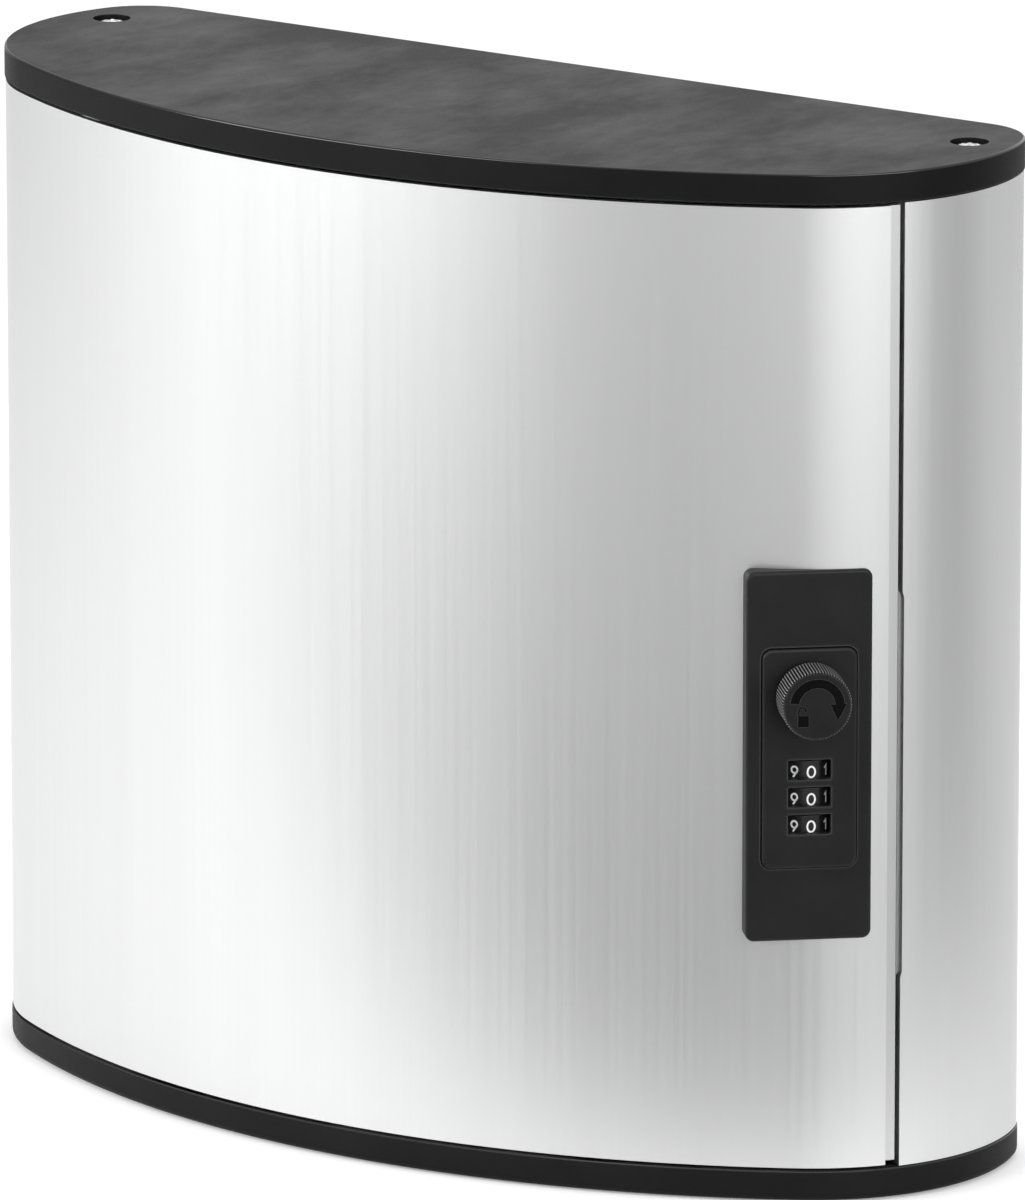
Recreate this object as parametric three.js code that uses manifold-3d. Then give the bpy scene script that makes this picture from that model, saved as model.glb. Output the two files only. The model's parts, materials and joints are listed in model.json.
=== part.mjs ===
// Wall key cabinet with a curved door and a combination lock.
// Millimetres, +Z up. The wall is at +Y, the door faces -Y and swings about an upright axis at the left.
import * as THREE from 'three';
import { mergeVertices } from 'three/addons/utils/BufferGeometryUtils.js';
import Module from 'manifold-3d';

const wasm = await Module();
wasm.setup();

const degree = Math.PI / 180;
const quarter = Math.PI / 2;
const half = 1 / 2;

// Driving dimensions of the cabinet
const width = 312;
const height = 280;
const depth = 118;
const shoulderRadius = 57;
const shoulderShare = 0.7146; // how far back of the depth the shoulder's centre lies
const cornerRadius = 20;

// Clearances
const slip = 0.25; // round a shaft, a pin or a screw
const seat = 0.3; // between pieces that rest on each other
const overrun = 1; // how far a cut runs past the material
const weld = 0.001; // edges shorter than this are closed up

// End caps
const capHeight = 8.4;
const capOverhang = 0.3;
const capTopRound = 0.8;
const capBottomRound = 2.3;
const capFloor = 3;
const capRim = 3.4;
const capRib = 2;
const capRibPlaceShares = [-0.25, 0, 0.25];
const skirtDepth = 6;
const skirtWall = 2.2;
const skirtFromSide = 41;
const sideSkirtTurns = [65 * degree, 73 * degree];
const capScrewFromSide = 14.5;
const capScrewFromHinge = 10.7;
const capScrewWellRadius = 5.25;
const capScrewBossRadius = 8;

// Aluminium back shell and door
const wall = 1.8;
const seamTurn = 58.6 * degree;
const seamGap = 1.15;
const reliefDepth = 0.45;
const reliefBottom = 62.2;
const reliefTop = 164.6;
const reliefSlant = 1.5;
const channelRadius = 4.6;
const channelBoreRadius = 2;
const channelSlot = 1.6;
const wallHoleRadius = 2.5;
const wallHoleFromSide = 56;
const wallHoleFromEnd = 33;
const doorGap = 1.4;
const edgeStripWidth = 2.9;
const edgeStripStep = 0.6;
const edgeStripStop = 1.2;
const stiffenerFromStrip = 1.1;

// Hinge
const hingeTubeRadius = 5.5;
const hingePinRadius = 2;
const hingePinInCap = 5.5;
const hingePinInDoor = 15;
const bushWall = 1.2;
const bushLength = 12;
const hingeBossRadius = 5.4;
const flangeClearance = 2.6;

// Screws of the caps and the rails
const screwRadius = 1.75;
const screwHeadRadius = 3.5;
const screwHeadHeight = 2.4;
const screwRecessRadius = 1.9;
const screwRecessWidth = 0.9;
const screwRecessDepth = 1.2;
const capScrewLength = 18;
const railScrewRadius = 1.4;
const railScrewHeadRadius = 2.8;
const railScrewHeadHeight = 1.6;
const railScrewLength = 5.1;

// Hook rails
const railFromSide = 38;
const railHeight = 16;
const railThickness = 3;
const railCount = 3;
const railFromTop = 56;
const railFromBottom = 68;
const hookCount = 8;
const hookFromEnd = 20;
const hookWidth = 4;
const hookReach = 15;
const hookTip = 6;
const hookThickness = 3;
const railScrewFromEnd = 6;

// Lock on the door
const lockFromDoorEdge = 24.6;
const lockLean = 9.75 * degree; // how far the lock turns to the right of the door under it
const lockCentreHeight = 123.1;
const escutcheonWidth = 33.7;
const escutcheonHeight = 100.8;
const escutcheonCorner = 2.4;
const escutcheonProud = 1.2;
const escutcheonEdge = 0.9;
const towerRadius = 3.5;
const towerFromEnd = 8.4;
const caseWidth = 25.3;
const caseHeight = 59.7;
const caseCorner = 2.6;
const caseProud = 2.4;
const caseEdge = 0.6;
const caseDrop = 0.45;
const caseWall = 2;
const caseFaceWall = 1.6;
const caseRear = -15.4;
const caseShelf = 2;
const caseFlange = 2;
const caseFlangeThickness = 1.6;
const backPlateThickness = 1.5;
const backPlateWidth = 23.4;
const backPlateMargin = 5;
const lockScrewRadius = 1.4;
const lockScrewHeadRadius = 3;
const lockScrewHeadHeight = 1.8;
const lockScrewLength = 11;

// Number wheels behind their windows
const wheelCount = 3;
const wheelFlats = 10;
const wheelRadius = 7.6;
const wheelPitch = 7.45;
const wheelChamfer = 0.5;
const wheelsFromCaseEnd = 19.4;
const wheelFaceGap = 0.4;
const windowWidth = 11;
const windowHeight = 5;
const windowRim = 0.4;
const windowRimDepth = 0.5;
const shaftRadius = 1.5;
const gateWidth = 1.6;
const gateDepth = 1.6;
const gateHeight = 1.4;
const springThickness = 0.45;
const springLength = 12;
const springFingerHeight = 4.4;
const springBendShares = [-0.3, -0.08, 0.08, 0.3];

// Knob, spindle and latch cam
const knobRadius = 9.4;
const knobHeight = 11.3;
const knobGap = 1.2;
const knobRibs = 40;
const knobRibDepth = 0.3;
const knobTopRound = 0.5;
const knobFromCaseEnd = 12.4;
const spindleRadius = 3.5;
const spindleInKnob = 8;
const spindleCollarRadius = 4.2;
const spindleCollarThickness = 2;
const spindleSquare = 4.6;
const spindleEndRadius = 2.2;
const camThickness = 2;
const camReach = 27;
const camWidth = 9;
const camHubRadius = 6;
const camGap = 0.5;
const nutAcross = 8;
const nutThickness = 2.2;

// Strike on the fixed side of the shell
const strikeThickness = 1.8;
const strikeToRight = 9;
const strikeToLeft = 5.6;
const bufferThickness = 1.4;
const bufferWidth = 5;
const bufferLength = 14;
const bufferFromMiddle = 95;
const bufferPress = 0.3;

// Code lever on the back of the lock
const leverStemWidth = 3;
const leverStemHeight = 2;
const leverTravel = 4;
const leverPadWidth = 5;
const leverPadHeight = 3.6;
const leverPadThickness = 1.6;
const leverInside = 1.2;

// Facets
const roundSides = 24;
const smallSides = 16;
const frontSteps = 28;
const shoulderSteps = 12;
const rearSteps = 4;
const cornerSteps = 6;
const cornerFacets = 4; // of a small rounded block

// The outline of the cabinet in plan: a wide front arc, two shoulders and two rear corners, all tangent.
// A point on it is named by its turn, the angle of the outward normal from -Y.
const wallY = depth * half;
const sideY = wallY - depth * (1 - shoulderShare);
const frontRadius = frontArcRadius(width * half - shoulderRadius, depth * shoulderShare);
const frontArc = { x: 0, y: wallY - depth + frontRadius, r: frontRadius };
const shoulderTurn = Math.asin((width * half - shoulderRadius) / (frontRadius - shoulderRadius));
const shoulderArc = nextArc(frontArc, shoulderTurn, shoulderRadius);
const cornerTurn = Math.acos((shoulderArc.y - wallY + cornerRadius) / (shoulderRadius - cornerRadius));
const cornerArc = nextArc(shoulderArc, cornerTurn, cornerRadius);

// The front arc ends where a shoulder with its centre that far across and back takes over.
function frontArcRadius(centreAcross, centreBack) {
  const chord = centreBack ** 2 + centreAcross ** 2 - shoulderRadius ** 2;
  return chord / (2 * (centreBack - shoulderRadius));
}

function nextArc(arc, turn, radius) {
  const step = arc.r - radius;
  return { x: arc.x + step * Math.sin(turn), y: arc.y - step * Math.cos(turn), r: radius };
}

function rimPoint(turn, inset = 0) {
  const size = Math.abs(turn);
  const side = turn < 0 ? -1 : 1;
  const arc = size < shoulderTurn ? frontArc : size < cornerTurn ? shoulderArc : cornerArc;
  const radius = arc.r - inset;
  return new THREE.Vector2(side * (arc.x + radius * Math.sin(size)), arc.y - radius * Math.cos(size));
}

function evenSteps(from, to, count) {
  return Array.from({ length: count }, (_, i) => from + ((to - from) * i) / count);
}

const halfTurns = [
  ...evenSteps(0, shoulderTurn, frontSteps * half),
  ...evenSteps(shoulderTurn, quarter, shoulderSteps),
  ...evenSteps(quarter, cornerTurn, rearSteps),
  ...evenSteps(cornerTurn, Math.PI, cornerSteps),
  Math.PI,
];
const rimTurns = [...halfTurns.slice(1).reverse().map((turn) => -turn), ...halfTurns];

function rimStretch(from, to, inset) {
  const between = rimTurns.filter((turn) => turn > from + degree * half && turn < to - degree * half);
  return [from, ...between, to].map((turn) => rimPoint(turn, inset));
}

// Solids
function solid(geometry, matrix) {
  if (matrix) {
    geometry.applyMatrix4(matrix);
  }
  geometry.deleteAttribute('normal');
  geometry.deleteAttribute('uv');
  const merged = mergeVertices(geometry);
  const faces = new wasm.Mesh({
    numProp: 3,
    vertProperties: Float32Array.from(merged.attributes.position.array),
    triVerts: Uint32Array.from(merged.index.array),
  });
  return new wasm.Manifold(faces);
}

// A join or a cut leaves vertices in the middle of flat faces, which are merged away here.
function cleaned(body) {
  return body.asOriginal().simplify(weld);
}

function joined(bodies) {
  return cleaned(bodies.reduce((all, body) => all.add(body)));
}

function without(body, cuts) {
  return cleaned(cuts.reduce((rest, cut) => rest.subtract(cut), body));
}

// A stack of rings with equal numbers of points, closed by a flat face at each end.
function loftGeometry(rings) {
  const count = rings[0].points.length;
  const positions = rings.flatMap(({ z, points }) => points.flatMap((point) => [point.x, point.y, z]));
  const index = [];
  for (let level = 0; level < rings.length - 1; level += 1) {
    for (let i = 0; i < count; i += 1) {
      const a = level * count + i;
      const b = level * count + ((i + 1) % count);
      index.push(a, b, b + count, a, b + count, a + count);
    }
  }
  const top = (rings.length - 1) * count;
  for (const [a, b, c] of THREE.ShapeUtils.triangulateShape(rings[0].points, [])) {
    index.push(c, b, a);
  }
  for (const [a, b, c] of THREE.ShapeUtils.triangulateShape(rings.at(-1).points, [])) {
    index.push(top + a, top + b, top + c);
  }
  const geometry = new THREE.BufferGeometry();
  geometry.setAttribute('position', new THREE.Float32BufferAttribute(positions, 3));
  geometry.setIndex(index);
  return geometry;
}

function prismGeometry(points, low, high) {
  const options = { depth: high - low, bevelEnabled: false, steps: 1 };
  return new THREE.ExtrudeGeometry(new THREE.Shape(points), options).translate(0, 0, low);
}

function prism(points, low, high) {
  return solid(prismGeometry(points, low, high));
}

function boxGeometry(x0, x1, y0, y1, z0, z1) {
  const box = new THREE.BoxGeometry(x1 - x0, y1 - y0, z1 - z0);
  return box.translate((x0 + x1) * half, (y0 + y1) * half, (z0 + z1) * half);
}

function box(...limits) {
  return solid(boxGeometry(...limits));
}

function drumGeometry(radius, low, high, sides = roundSides) {
  const drum = new THREE.CylinderGeometry(radius, radius, high - low, sides);
  return drum.rotateX(quarter).translate(0, 0, (low + high) * half);
}

// A round bar along Z at a spot in the XY plane.
function drum(radius, low, high, spot, sides = roundSides) {
  return solid(drumGeometry(radius, low, high, sides).translate(spot.x, spot.y, 0));
}

function roundedShape(across, up, radius) {
  const x = across * half - radius;
  const y = up * half - radius;
  const shape = new THREE.Shape();
  shape.absarc(x, y, radius, 0, quarter);
  shape.absarc(-x, y, radius, quarter, Math.PI);
  shape.absarc(-x, -y, radius, Math.PI, Math.PI + quarter);
  shape.absarc(x, -y, radius, Math.PI + quarter, Math.PI + Math.PI);
  return shape;
}

function roundedBlock(across, up, radius, low, high, rise = 0) {
  const options = { depth: high - low, bevelEnabled: false, curveSegments: cornerFacets };
  return solid(new THREE.ExtrudeGeometry(roundedShape(across, up, radius), options).translate(0, rise, low));
}

// A rounded block whose upper edge is bevelled.
function bevelledBlock(across, up, radius, low, high, bevel, rise = 0) {
  const levels = [
    { z: low, inset: 0 },
    { z: high - bevel, inset: 0 },
    { z: high, inset: bevel },
  ];
  const rings = levels.map(({ z, inset }) => ({
    z,
    points: roundedShape(across - inset - inset, up - inset - inset, radius - inset).getPoints(cornerFacets),
  }));
  rings.forEach((ring) => ring.points.pop());
  return solid(loftGeometry(rings).translate(0, rise, 0));
}

function mesh(name, body, material) {
  const { vertProperties, triVerts } = body.getMesh();
  const geometry = new THREE.BufferGeometry();
  geometry.setAttribute('position', new THREE.BufferAttribute(vertProperties, 3));
  geometry.setIndex(new THREE.BufferAttribute(triVerts, 1));
  geometry.computeVertexNormals();
  const piece = new THREE.Mesh(geometry, material);
  piece.name = name;
  return piece;
}

// Materials
const anodised = () => new THREE.MeshStandardMaterial({ color: 0xc6c8ca, metalness: 0.9, roughness: 0.35 });
const capPlastic = () => new THREE.MeshStandardMaterial({ color: 0x3a3a3a, metalness: 0, roughness: 0.6 });
const lockPlastic = () => new THREE.MeshStandardMaterial({ color: 0x1b1c1d, metalness: 0, roughness: 0.45 });
const steel = () => new THREE.MeshStandardMaterial({ color: 0xb9bcc0, metalness: 1, roughness: 0.25 });
const nylon = () => new THREE.MeshStandardMaterial({ color: 0xe4e1d8, metalness: 0, roughness: 0.5 });
const railPlastic = () => new THREE.MeshStandardMaterial({ color: 0xcfd0d0, metalness: 0, roughness: 0.5 });
const rubber = () => new THREE.MeshStandardMaterial({ color: 0x202020, metalness: 0, roughness: 0.9 });

// Places that several pieces share
const shellLow = capHeight + seat;
const shellHigh = height - capHeight - seat;
const doorLow = capHeight + doorGap;
const doorHigh = height - capHeight - doorGap;
const innerInset = capOverhang + wall;
const innerWallY = wallY - innerInset;
const seamHalfTurn = (seamGap * half) / shoulderRadius;
const fixedTurn = seamTurn + seamHalfTurn;
const doorTurn = seamTurn - seamHalfTurn;
const hinge = rimPoint(-quarter, capOverhang + hingeTubeRadius);
const capScrewPlaces = [-1, 1].map((side) => ({
  x: side * (width * half - capScrewFromSide),
  y: sideY + capScrewFromHinge,
}));
const across = (turn) => new THREE.Vector2(Math.cos(turn), Math.sin(turn));
const outward = (turn) => new THREE.Vector2(Math.sin(turn), -Math.cos(turn));

// The lock's own frame: x across the door to the right, y up, z out of the door.
const lockSeatTurn = doorTurn - lockFromDoorEdge / shoulderRadius;
const lockTurn = lockSeatTurn + lockLean;
const lockSeat = rimPoint(lockSeatTurn, capOverhang);
const lockRise = highestLevel(lockSeat);
const lockPlace = lockSeat.clone().addScaledVector(outward(lockTurn), lockRise);
const lockMatrix = frameMatrix(lockTurn, lockPlace, lockCentreHeight);

// How far the door rises out of the lock's face plane through a point of it.
function highestLevel(seatPoint) {
  const door = rimStretch(0, doorTurn, capOverhang);
  return Math.max(...door.map((point) => point.sub(seatPoint).dot(outward(lockTurn))));
}

function frameMatrix(turn, place, up) {
  const right = across(turn);
  const out = outward(turn);
  const matrix = new THREE.Matrix4().makeBasis(
    new THREE.Vector3(right.x, right.y, 0),
    new THREE.Vector3(0, 0, 1),
    new THREE.Vector3(out.x, out.y, 0),
  );
  return matrix.setPosition(place.x, place.y, up);
}

// A point given across and out of the lock, in the cabinet's plan.
function lockPlan(right, out) {
  const point = new THREE.Vector2(lockPlace.x, lockPlace.y);
  return point.addScaledVector(across(lockTurn), right).addScaledVector(outward(lockTurn), out);
}

// A point of the cabinet's plan, in the lock's across and out.
function planInLock(point) {
  const offset = point.clone().sub(lockPlace);
  return new THREE.Vector2(offset.dot(across(lockTurn)), offset.dot(outward(lockTurn)));
}

// Levels out of the door along the lock, and heights up the lock
const backPlateFront = caseRear - seat;
const backPlateRear = backPlateFront - backPlateThickness;
const camFront = backPlateRear - slip - camGap - camGap;
const camRear = camFront - camThickness;
const strikeRear = camFront + camGap;
const strikeFront = strikeRear + strikeThickness;
const towerRise = escutcheonHeight * half - towerFromEnd;
const knobRise = caseHeight * half - caseDrop - knobFromCaseEnd;
const wheelMiddle = wheelsFromCaseEnd - caseHeight * half - caseDrop;
const wheelAxis = caseProud - caseFaceWall - wheelFaceGap - wheelRadius;
const wheelHeight = wheelPitch - seat;
const wheelPlaces = Array.from({ length: wheelCount }, (_, i) => wheelMiddle + wheelPitch * (1 - i));
const wheelsLow = wheelPlaces.at(-1) - wheelHeight * half;
const wheelsHigh = wheelPlaces[0] + wheelHeight * half;
const cavityHalf = caseWidth * half - caseWall;
const cavityLow = -caseDrop - caseHeight * half + caseWall;
const lowerShelfLow = wheelsLow - seat - caseShelf;
const leverRise = (cavityLow + lowerShelfLow) * half;

// Screw, head up along Z, its underside at 0.
function plainScrew(radius, headRadius, headHeight, length) {
  const crown = headHeight * half;
  const profile = [
    [0, -length],
    [radius * half, -length],
    [radius, radius * half - length],
    [radius, 0],
    [headRadius, 0],
    [headRadius, crown],
    [headRadius * (1 - crown / headHeight / 4), headHeight],
    [0, headHeight],
  ].map(([x, y]) => new THREE.Vector2(x, y));
  return solid(new THREE.LatheGeometry(profile, smallSides).rotateX(quarter));
}

// The screws of the caps have a cross recess.
function capScrew() {
  const side = screwRecessWidth * half;
  const low = screwHeadHeight - screwRecessDepth;
  const top = screwHeadHeight + overrun;
  return without(plainScrew(screwRadius, screwHeadRadius, screwHeadHeight, capScrewLength), [
    box(-screwRecessRadius, screwRecessRadius, -side, side, low, top),
    box(-side, side, -screwRecessRadius, screwRecessRadius, low, top),
  ]);
}

// Back wall, rear corners, left flange and fixed right side, with the strike that the latch cam reaches behind.
function backShell() {
  const flangeRise = hingeTubeRadius + flangeClearance;
  const flangeTurn = quarter + Math.asin(flangeRise / (shoulderRadius - capOverhang));
  const [webLeft, webRight] = strikeWeb();
  const webTurn = fixedTurn + strikeThickness / (shoulderRadius - innerInset);
  const outline = [
    ...rimStretch(fixedTurn, Math.PI, capOverhang),
    ...rimStretch(-Math.PI, -flangeTurn, capOverhang),
    ...rimStretch(-Math.PI, -flangeTurn, innerInset).reverse(),
    ...rimStretch(webTurn, Math.PI, innerInset).reverse(),
    webRight,
    webLeft,
  ];
  const parts = [prism(outline, shellLow, shellHigh), strikeLand()];
  const cuts = [reliefCut()];
  for (const spot of capScrewPlaces) {
    const side = Math.sign(spot.x);
    const wallTurn = quarter + Math.asin((spot.y - shoulderArc.y) / shoulderRadius);
    const wallX = rimPoint(wallTurn, innerInset - wall * half).x;
    const webX = spot.x + side * (channelBoreRadius + channelRadius) * half;
    const web = [
      new THREE.Vector2(webX, spot.y - wall * half),
      new THREE.Vector2(side * wallX, spot.y - wall * half),
      new THREE.Vector2(side * wallX, spot.y + wall * half),
      new THREE.Vector2(webX, spot.y + wall * half),
    ];
    parts.push(drum(channelRadius, shellLow, shellHigh, spot), prism(web, shellLow, shellHigh));
    cuts.push(drum(channelBoreRadius, shellLow - overrun, shellHigh + overrun, spot, smallSides));
    const slot = [-side * (channelRadius + overrun), 0].map((x) => x + spot.x).sort((a, b) => a - b);
    const slotSide = channelSlot * half;
    cuts.push(
      box(...slot, spot.y - slotSide, spot.y + slotSide, shellLow - overrun, shellHigh + overrun),
    );
  }
  cuts.push(...wallHoles(), ...railScrewHoles());
  return without(joined(parts), cuts);
}

// The inner end of the web that stands inward at the seam and carries the strike's land.
function strikeWeb() {
  const left = rimPoint(fixedTurn, insetAtLevel(fixedTurn, (strikeFront + strikeRear) * half));
  return [left, left.clone().addScaledVector(across(fixedTurn), strikeThickness)];
}

// How far inside the shoulder a line square to it meets a level of the lock.
function insetAtLevel(turn, level) {
  const centre = planInLock(new THREE.Vector2(shoulderArc.x, shoulderArc.y));
  return shoulderRadius - (level - centre.y) / Math.cos(turn - lockTurn);
}

// The land faces the door: the cam lies behind its right half and the door's stiffener stops against the
// buffers on its left half.
function strikeLand() {
  const middle = strikeMiddle();
  const land = [
    lockPlan(middle - strikeToLeft, strikeRear),
    lockPlan(middle + strikeToRight, strikeRear),
    lockPlan(middle + strikeToRight, strikeFront),
    lockPlan(middle - strikeToLeft, strikeFront),
  ];
  return prism(land, shellLow, shellHigh);
}

// Where the strike's web meets its land, across the lock.
function strikeMiddle() {
  return planInLock(rimPoint(fixedTurn, insetAtLevel(fixedTurn, strikeFront))).x;
}

// The shallow relief in the fixed edge beside the lock, with slanted ends.
function reliefCut() {
  const edge = rimPoint(fixedTurn, capOverhang);
  const shape = new THREE.Shape([
    new THREE.Vector2(-overrun, reliefBottom - reliefSlant),
    new THREE.Vector2(0, reliefBottom - reliefSlant),
    new THREE.Vector2(reliefDepth, reliefBottom),
    new THREE.Vector2(reliefDepth, reliefTop),
    new THREE.Vector2(0, reliefTop + reliefSlant),
    new THREE.Vector2(-overrun, reliefTop + reliefSlant),
  ]);
  const options = { depth: wall + wall, bevelEnabled: false };
  const cut = new THREE.ExtrudeGeometry(shape, options).translate(0, 0, -wall * 1.5);
  return solid(cut, frameMatrix(fixedTurn, edge, 0));
}

function wallHoles() {
  const holes = [];
  const holeX = width * half - wallHoleFromSide;
  for (const x of [-holeX, holeX]) {
    for (const z of [wallHoleFromEnd, height - wallHoleFromEnd]) {
      holes.push(backHole(wallHoleRadius, x, z));
    }
  }
  return holes;
}

// A round hole through the back wall.
function backHole(radius, x, z) {
  const hole = new THREE.CylinderGeometry(radius, radius, wall + overrun + overrun, smallSides);
  return solid(hole.translate(x, innerWallY + wall * half, z));
}

const railLength = width - railFromSide - railFromSide;
const railSpacing = (height - railFromTop - railFromBottom) / (railCount - 1);
const railHeights = Array.from({ length: railCount }, (_, i) => railFromBottom + railSpacing * i);
const railScrewPlaces = [-1, 1].map((side) => side * (railLength * half - railScrewFromEnd));

function railScrewHoles() {
  return railHeights.flatMap((z) => railScrewPlaces.map((x) => backHole(railScrewRadius + slip, x, z)));
}

// The curved door: hinge tube at the left, a lower strip along the right edge and a stiffener behind it.
function doorPanel() {
  const skinTurn = doorTurn - edgeStripWidth / shoulderRadius;
  const stripInset = capOverhang + edgeStripStep;
  const skin = [
    ...rimStretch(-quarter, skinTurn, capOverhang),
    ...rimStretch(-quarter, skinTurn, innerInset).reverse(),
  ];
  const rootTurn = skinTurn - wall / shoulderRadius;
  const strip = [
    ...rimStretch(rootTurn, doorTurn, stripInset),
    ...rimStretch(rootTurn, doorTurn, stripInset + wall).reverse(),
  ];
  const parts = [
    prism(skin, doorLow, doorHigh),
    prism(strip, doorLow + edgeStripStop, doorHigh - edgeStripStop),
    drum(hingeTubeRadius, doorLow, doorHigh, hinge),
    stiffener(skinTurn),
  ];
  const cuts = [
    drum(bushBore, doorLow - overrun, doorHigh + overrun, hinge),
    lockCutOut(),
    ...towerHoles(),
  ];
  return without(joined(parts), cuts);
}

const bushBore = hingePinRadius + slip + bushWall + slip;

// The stiffener stands inward from the skin and ends just above the door buffers.
function stiffener(skinTurn) {
  const turn = skinTurn - stiffenerFromStrip / shoulderRadius;
  const endInset = insetAtLevel(turn, strikeFront + bufferThickness + seat + bufferPress);
  const tangent = across(turn).multiplyScalar(-wall);
  const start = rimPoint(turn, capOverhang + wall * half);
  const end = rimPoint(turn, endInset);
  const web = [start, end, end.clone().add(tangent), start.clone().add(tangent)];
  return prism(web, doorLow, doorHigh);
}

function lockCutOut() {
  const reach = shoulderRadius * half;
  const cut = roundedShape(caseWidth + seat + seat, caseHeight + seat + seat, caseCorner);
  const options = { depth: reach, bevelEnabled: false, curveSegments: cornerFacets };
  const geometry = new THREE.ExtrudeGeometry(cut, options).translate(0, -caseDrop, -reach * half);
  return solid(geometry, lockMatrix);
}

function towerHoles() {
  return [-towerRise, towerRise].map((rise) => {
    const hole = drumGeometry(towerRadius + seat, -shoulderRadius * half, overrun, smallSides);
    return solid(hole.translate(0, rise, 0), lockMatrix);
  });
}

// A moulded cap: a rimmed plate with ribs, wells and bosses. It is drawn as the bottom cap, open side up.
function cap(edgeRound) {
  const edge = roundedEdge(edgeRound);
  const pocketPoints = rimTurns.map((turn) => rimPoint(turn, capRim));
  const pocket = prism(pocketPoints, capFloor, capHeight + overrun);
  const inside = prism(pocketPoints, 0, capHeight);
  const ribs = capRibPlaceShares.map((share) => {
    const x = share * width;
    const halfRib = capRib * half;
    return box(x - halfRib, x + halfRib, -wallY, wallY, capFloor * half, capHeight).intersect(inside);
  });
  const bosses = capScrewPlaces.map((spot) => drum(capScrewBossRadius, capFloor * half, capHeight, spot));
  const hingeBoss = drum(hingeBossRadius, capFloor * half, capHeight, hinge);
  const shape = joined([edge.subtract(pocket), ...ribs, ...bosses, hingeBoss, ...skirts()]);
  const wells = capScrewPlaces.flatMap((spot) => [
    drum(capScrewWellRadius, -overrun, capHeight - capFloor, spot),
    drum(screwRadius + slip, 0, capHeight + overrun, spot, smallSides),
  ]);
  const holeLow = capHeight - hingePinInCap - slip;
  const hingeHole = drum(hingePinRadius + slip, holeLow, capHeight + overrun, hinge, smallSides);
  return without(shape, [...wells, hingeHole]);
}

// The outer body of a cap with its rounded outer edge.
function roundedEdge(edgeRound) {
  const angles = [0, 30, 60, 90].map((value) => value * degree);
  const levels = angles.map((angle) => ({
    z: edgeRound * (1 - Math.sin(angle)),
    inset: edgeRound * (1 - Math.cos(angle)),
  }));
  levels.reverse();
  levels.push({ z: capHeight, inset: 0 });
  return solid(
    loftGeometry(levels.map(({ z, inset }) => ({ z, points: rimTurns.map((turn) => rimPoint(turn, inset)) }))),
  );
}

// Skirts that locate a cap inside the shell: one along the back wall and one inside the fixed side.
function skirts() {
  const top = capHeight + skirtDepth;
  const low = capFloor * half;
  const backFace = innerWallY - slip;
  const skirtHalf = width * half - skirtFromSide;
  const back = box(-skirtHalf, skirtHalf, backFace - skirtWall, backFace, low, top);
  const [from, to] = sideSkirtTurns;
  const outer = innerInset + slip;
  const side = [...rimStretch(from, to, outer), ...rimStretch(from, to, outer + skirtWall).reverse()];
  return [back, prism(side, low, top)];
}

// A bent moulded hook seen from the side, with a gusset under its arm.
function hook(x) {
  const shape = new THREE.Shape([
    new THREE.Vector2(0, -railHeight * half),
    new THREE.Vector2(hookThickness, -railHeight * half + hookThickness),
    new THREE.Vector2(hookThickness * 1.6, -hookThickness),
    new THREE.Vector2(hookReach, -hookThickness),
    new THREE.Vector2(hookReach + hookThickness * half, -hookThickness * half),
    new THREE.Vector2(hookReach + hookThickness * half, hookTip - hookThickness * half),
    new THREE.Vector2(hookReach, hookTip),
    new THREE.Vector2(hookReach - hookThickness * half, hookTip - hookThickness * half),
    new THREE.Vector2(hookReach - hookThickness * half, hookThickness * half),
    new THREE.Vector2(hookReach - hookThickness, 0),
    new THREE.Vector2(0, 0),
  ]);
  const options = { depth: hookWidth, bevelEnabled: false };
  const geometry = new THREE.ExtrudeGeometry(shape, options).translate(-overrun, 0, -hookWidth * half);
  return solid(geometry.rotateX(quarter).rotateZ(-quarter).translate(x, 0, 0));
}

// A hook rail with its back at Y 0 and its hooks towards -Y.
function hookRail() {
  const strip = roundedBlock(railLength, railHeight, railThickness, 0, railThickness);
  const hookPitch = (railLength - hookFromEnd - hookFromEnd) / (hookCount - 1);
  const places = Array.from({ length: hookCount }, (_, i) => hookPitch * (i - (hookCount - 1) * half));
  const turned = new THREE.Matrix4().makeRotationX(quarter);
  const stripBody = solid(meshGeometry(strip), turned);
  const hooks = places.map((x) => solid(meshGeometry(hook(x)).translate(0, -railThickness, 0)));
  const holes = railScrewPlaces.map((x) => {
    const holeRadius = railScrewRadius + slip;
    const hole = new THREE.CylinderGeometry(holeRadius, holeRadius, railThickness * 4, smallSides);
    return solid(hole.translate(x, 0, 0));
  });
  return without(joined([stripBody, ...hooks]), holes);
}

function meshGeometry(body) {
  const { vertProperties, triVerts } = body.getMesh();
  const geometry = new THREE.BufferGeometry();
  geometry.setAttribute('position', new THREE.BufferAttribute(vertProperties, 3));
  geometry.setIndex(new THREE.BufferAttribute(triVerts, 1));
  return geometry;
}

// A bush with a collar that carries the door on the cap below it.
function hingeBush() {
  const inner = hingePinRadius + slip;
  const outer = inner + bushWall;
  const collar = doorGap - seat - seat;
  const profile = [
    [inner, 0],
    [hingeTubeRadius - slip, 0],
    [hingeTubeRadius - slip, collar],
    [outer, collar],
    [outer, collar + bushLength],
    [inner, collar + bushLength],
    [inner, 0],
  ].map(([x, y]) => new THREE.Vector2(x, y));
  return solid(new THREE.LatheGeometry(profile, roundSides).rotateX(quarter));
}

function hingePin() {
  const length = hingePinInCap + hingePinInDoor;
  const chamfer = hingePinRadius / 4;
  const profile = [
    [0, 0],
    [hingePinRadius - chamfer, 0],
    [hingePinRadius, chamfer],
    [hingePinRadius, length - chamfer],
    [hingePinRadius - chamfer, length],
    [0, length],
  ].map(([x, y]) => new THREE.Vector2(x, y));
  return solid(new THREE.LatheGeometry(profile, smallSides).rotateX(quarter));
}

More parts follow.
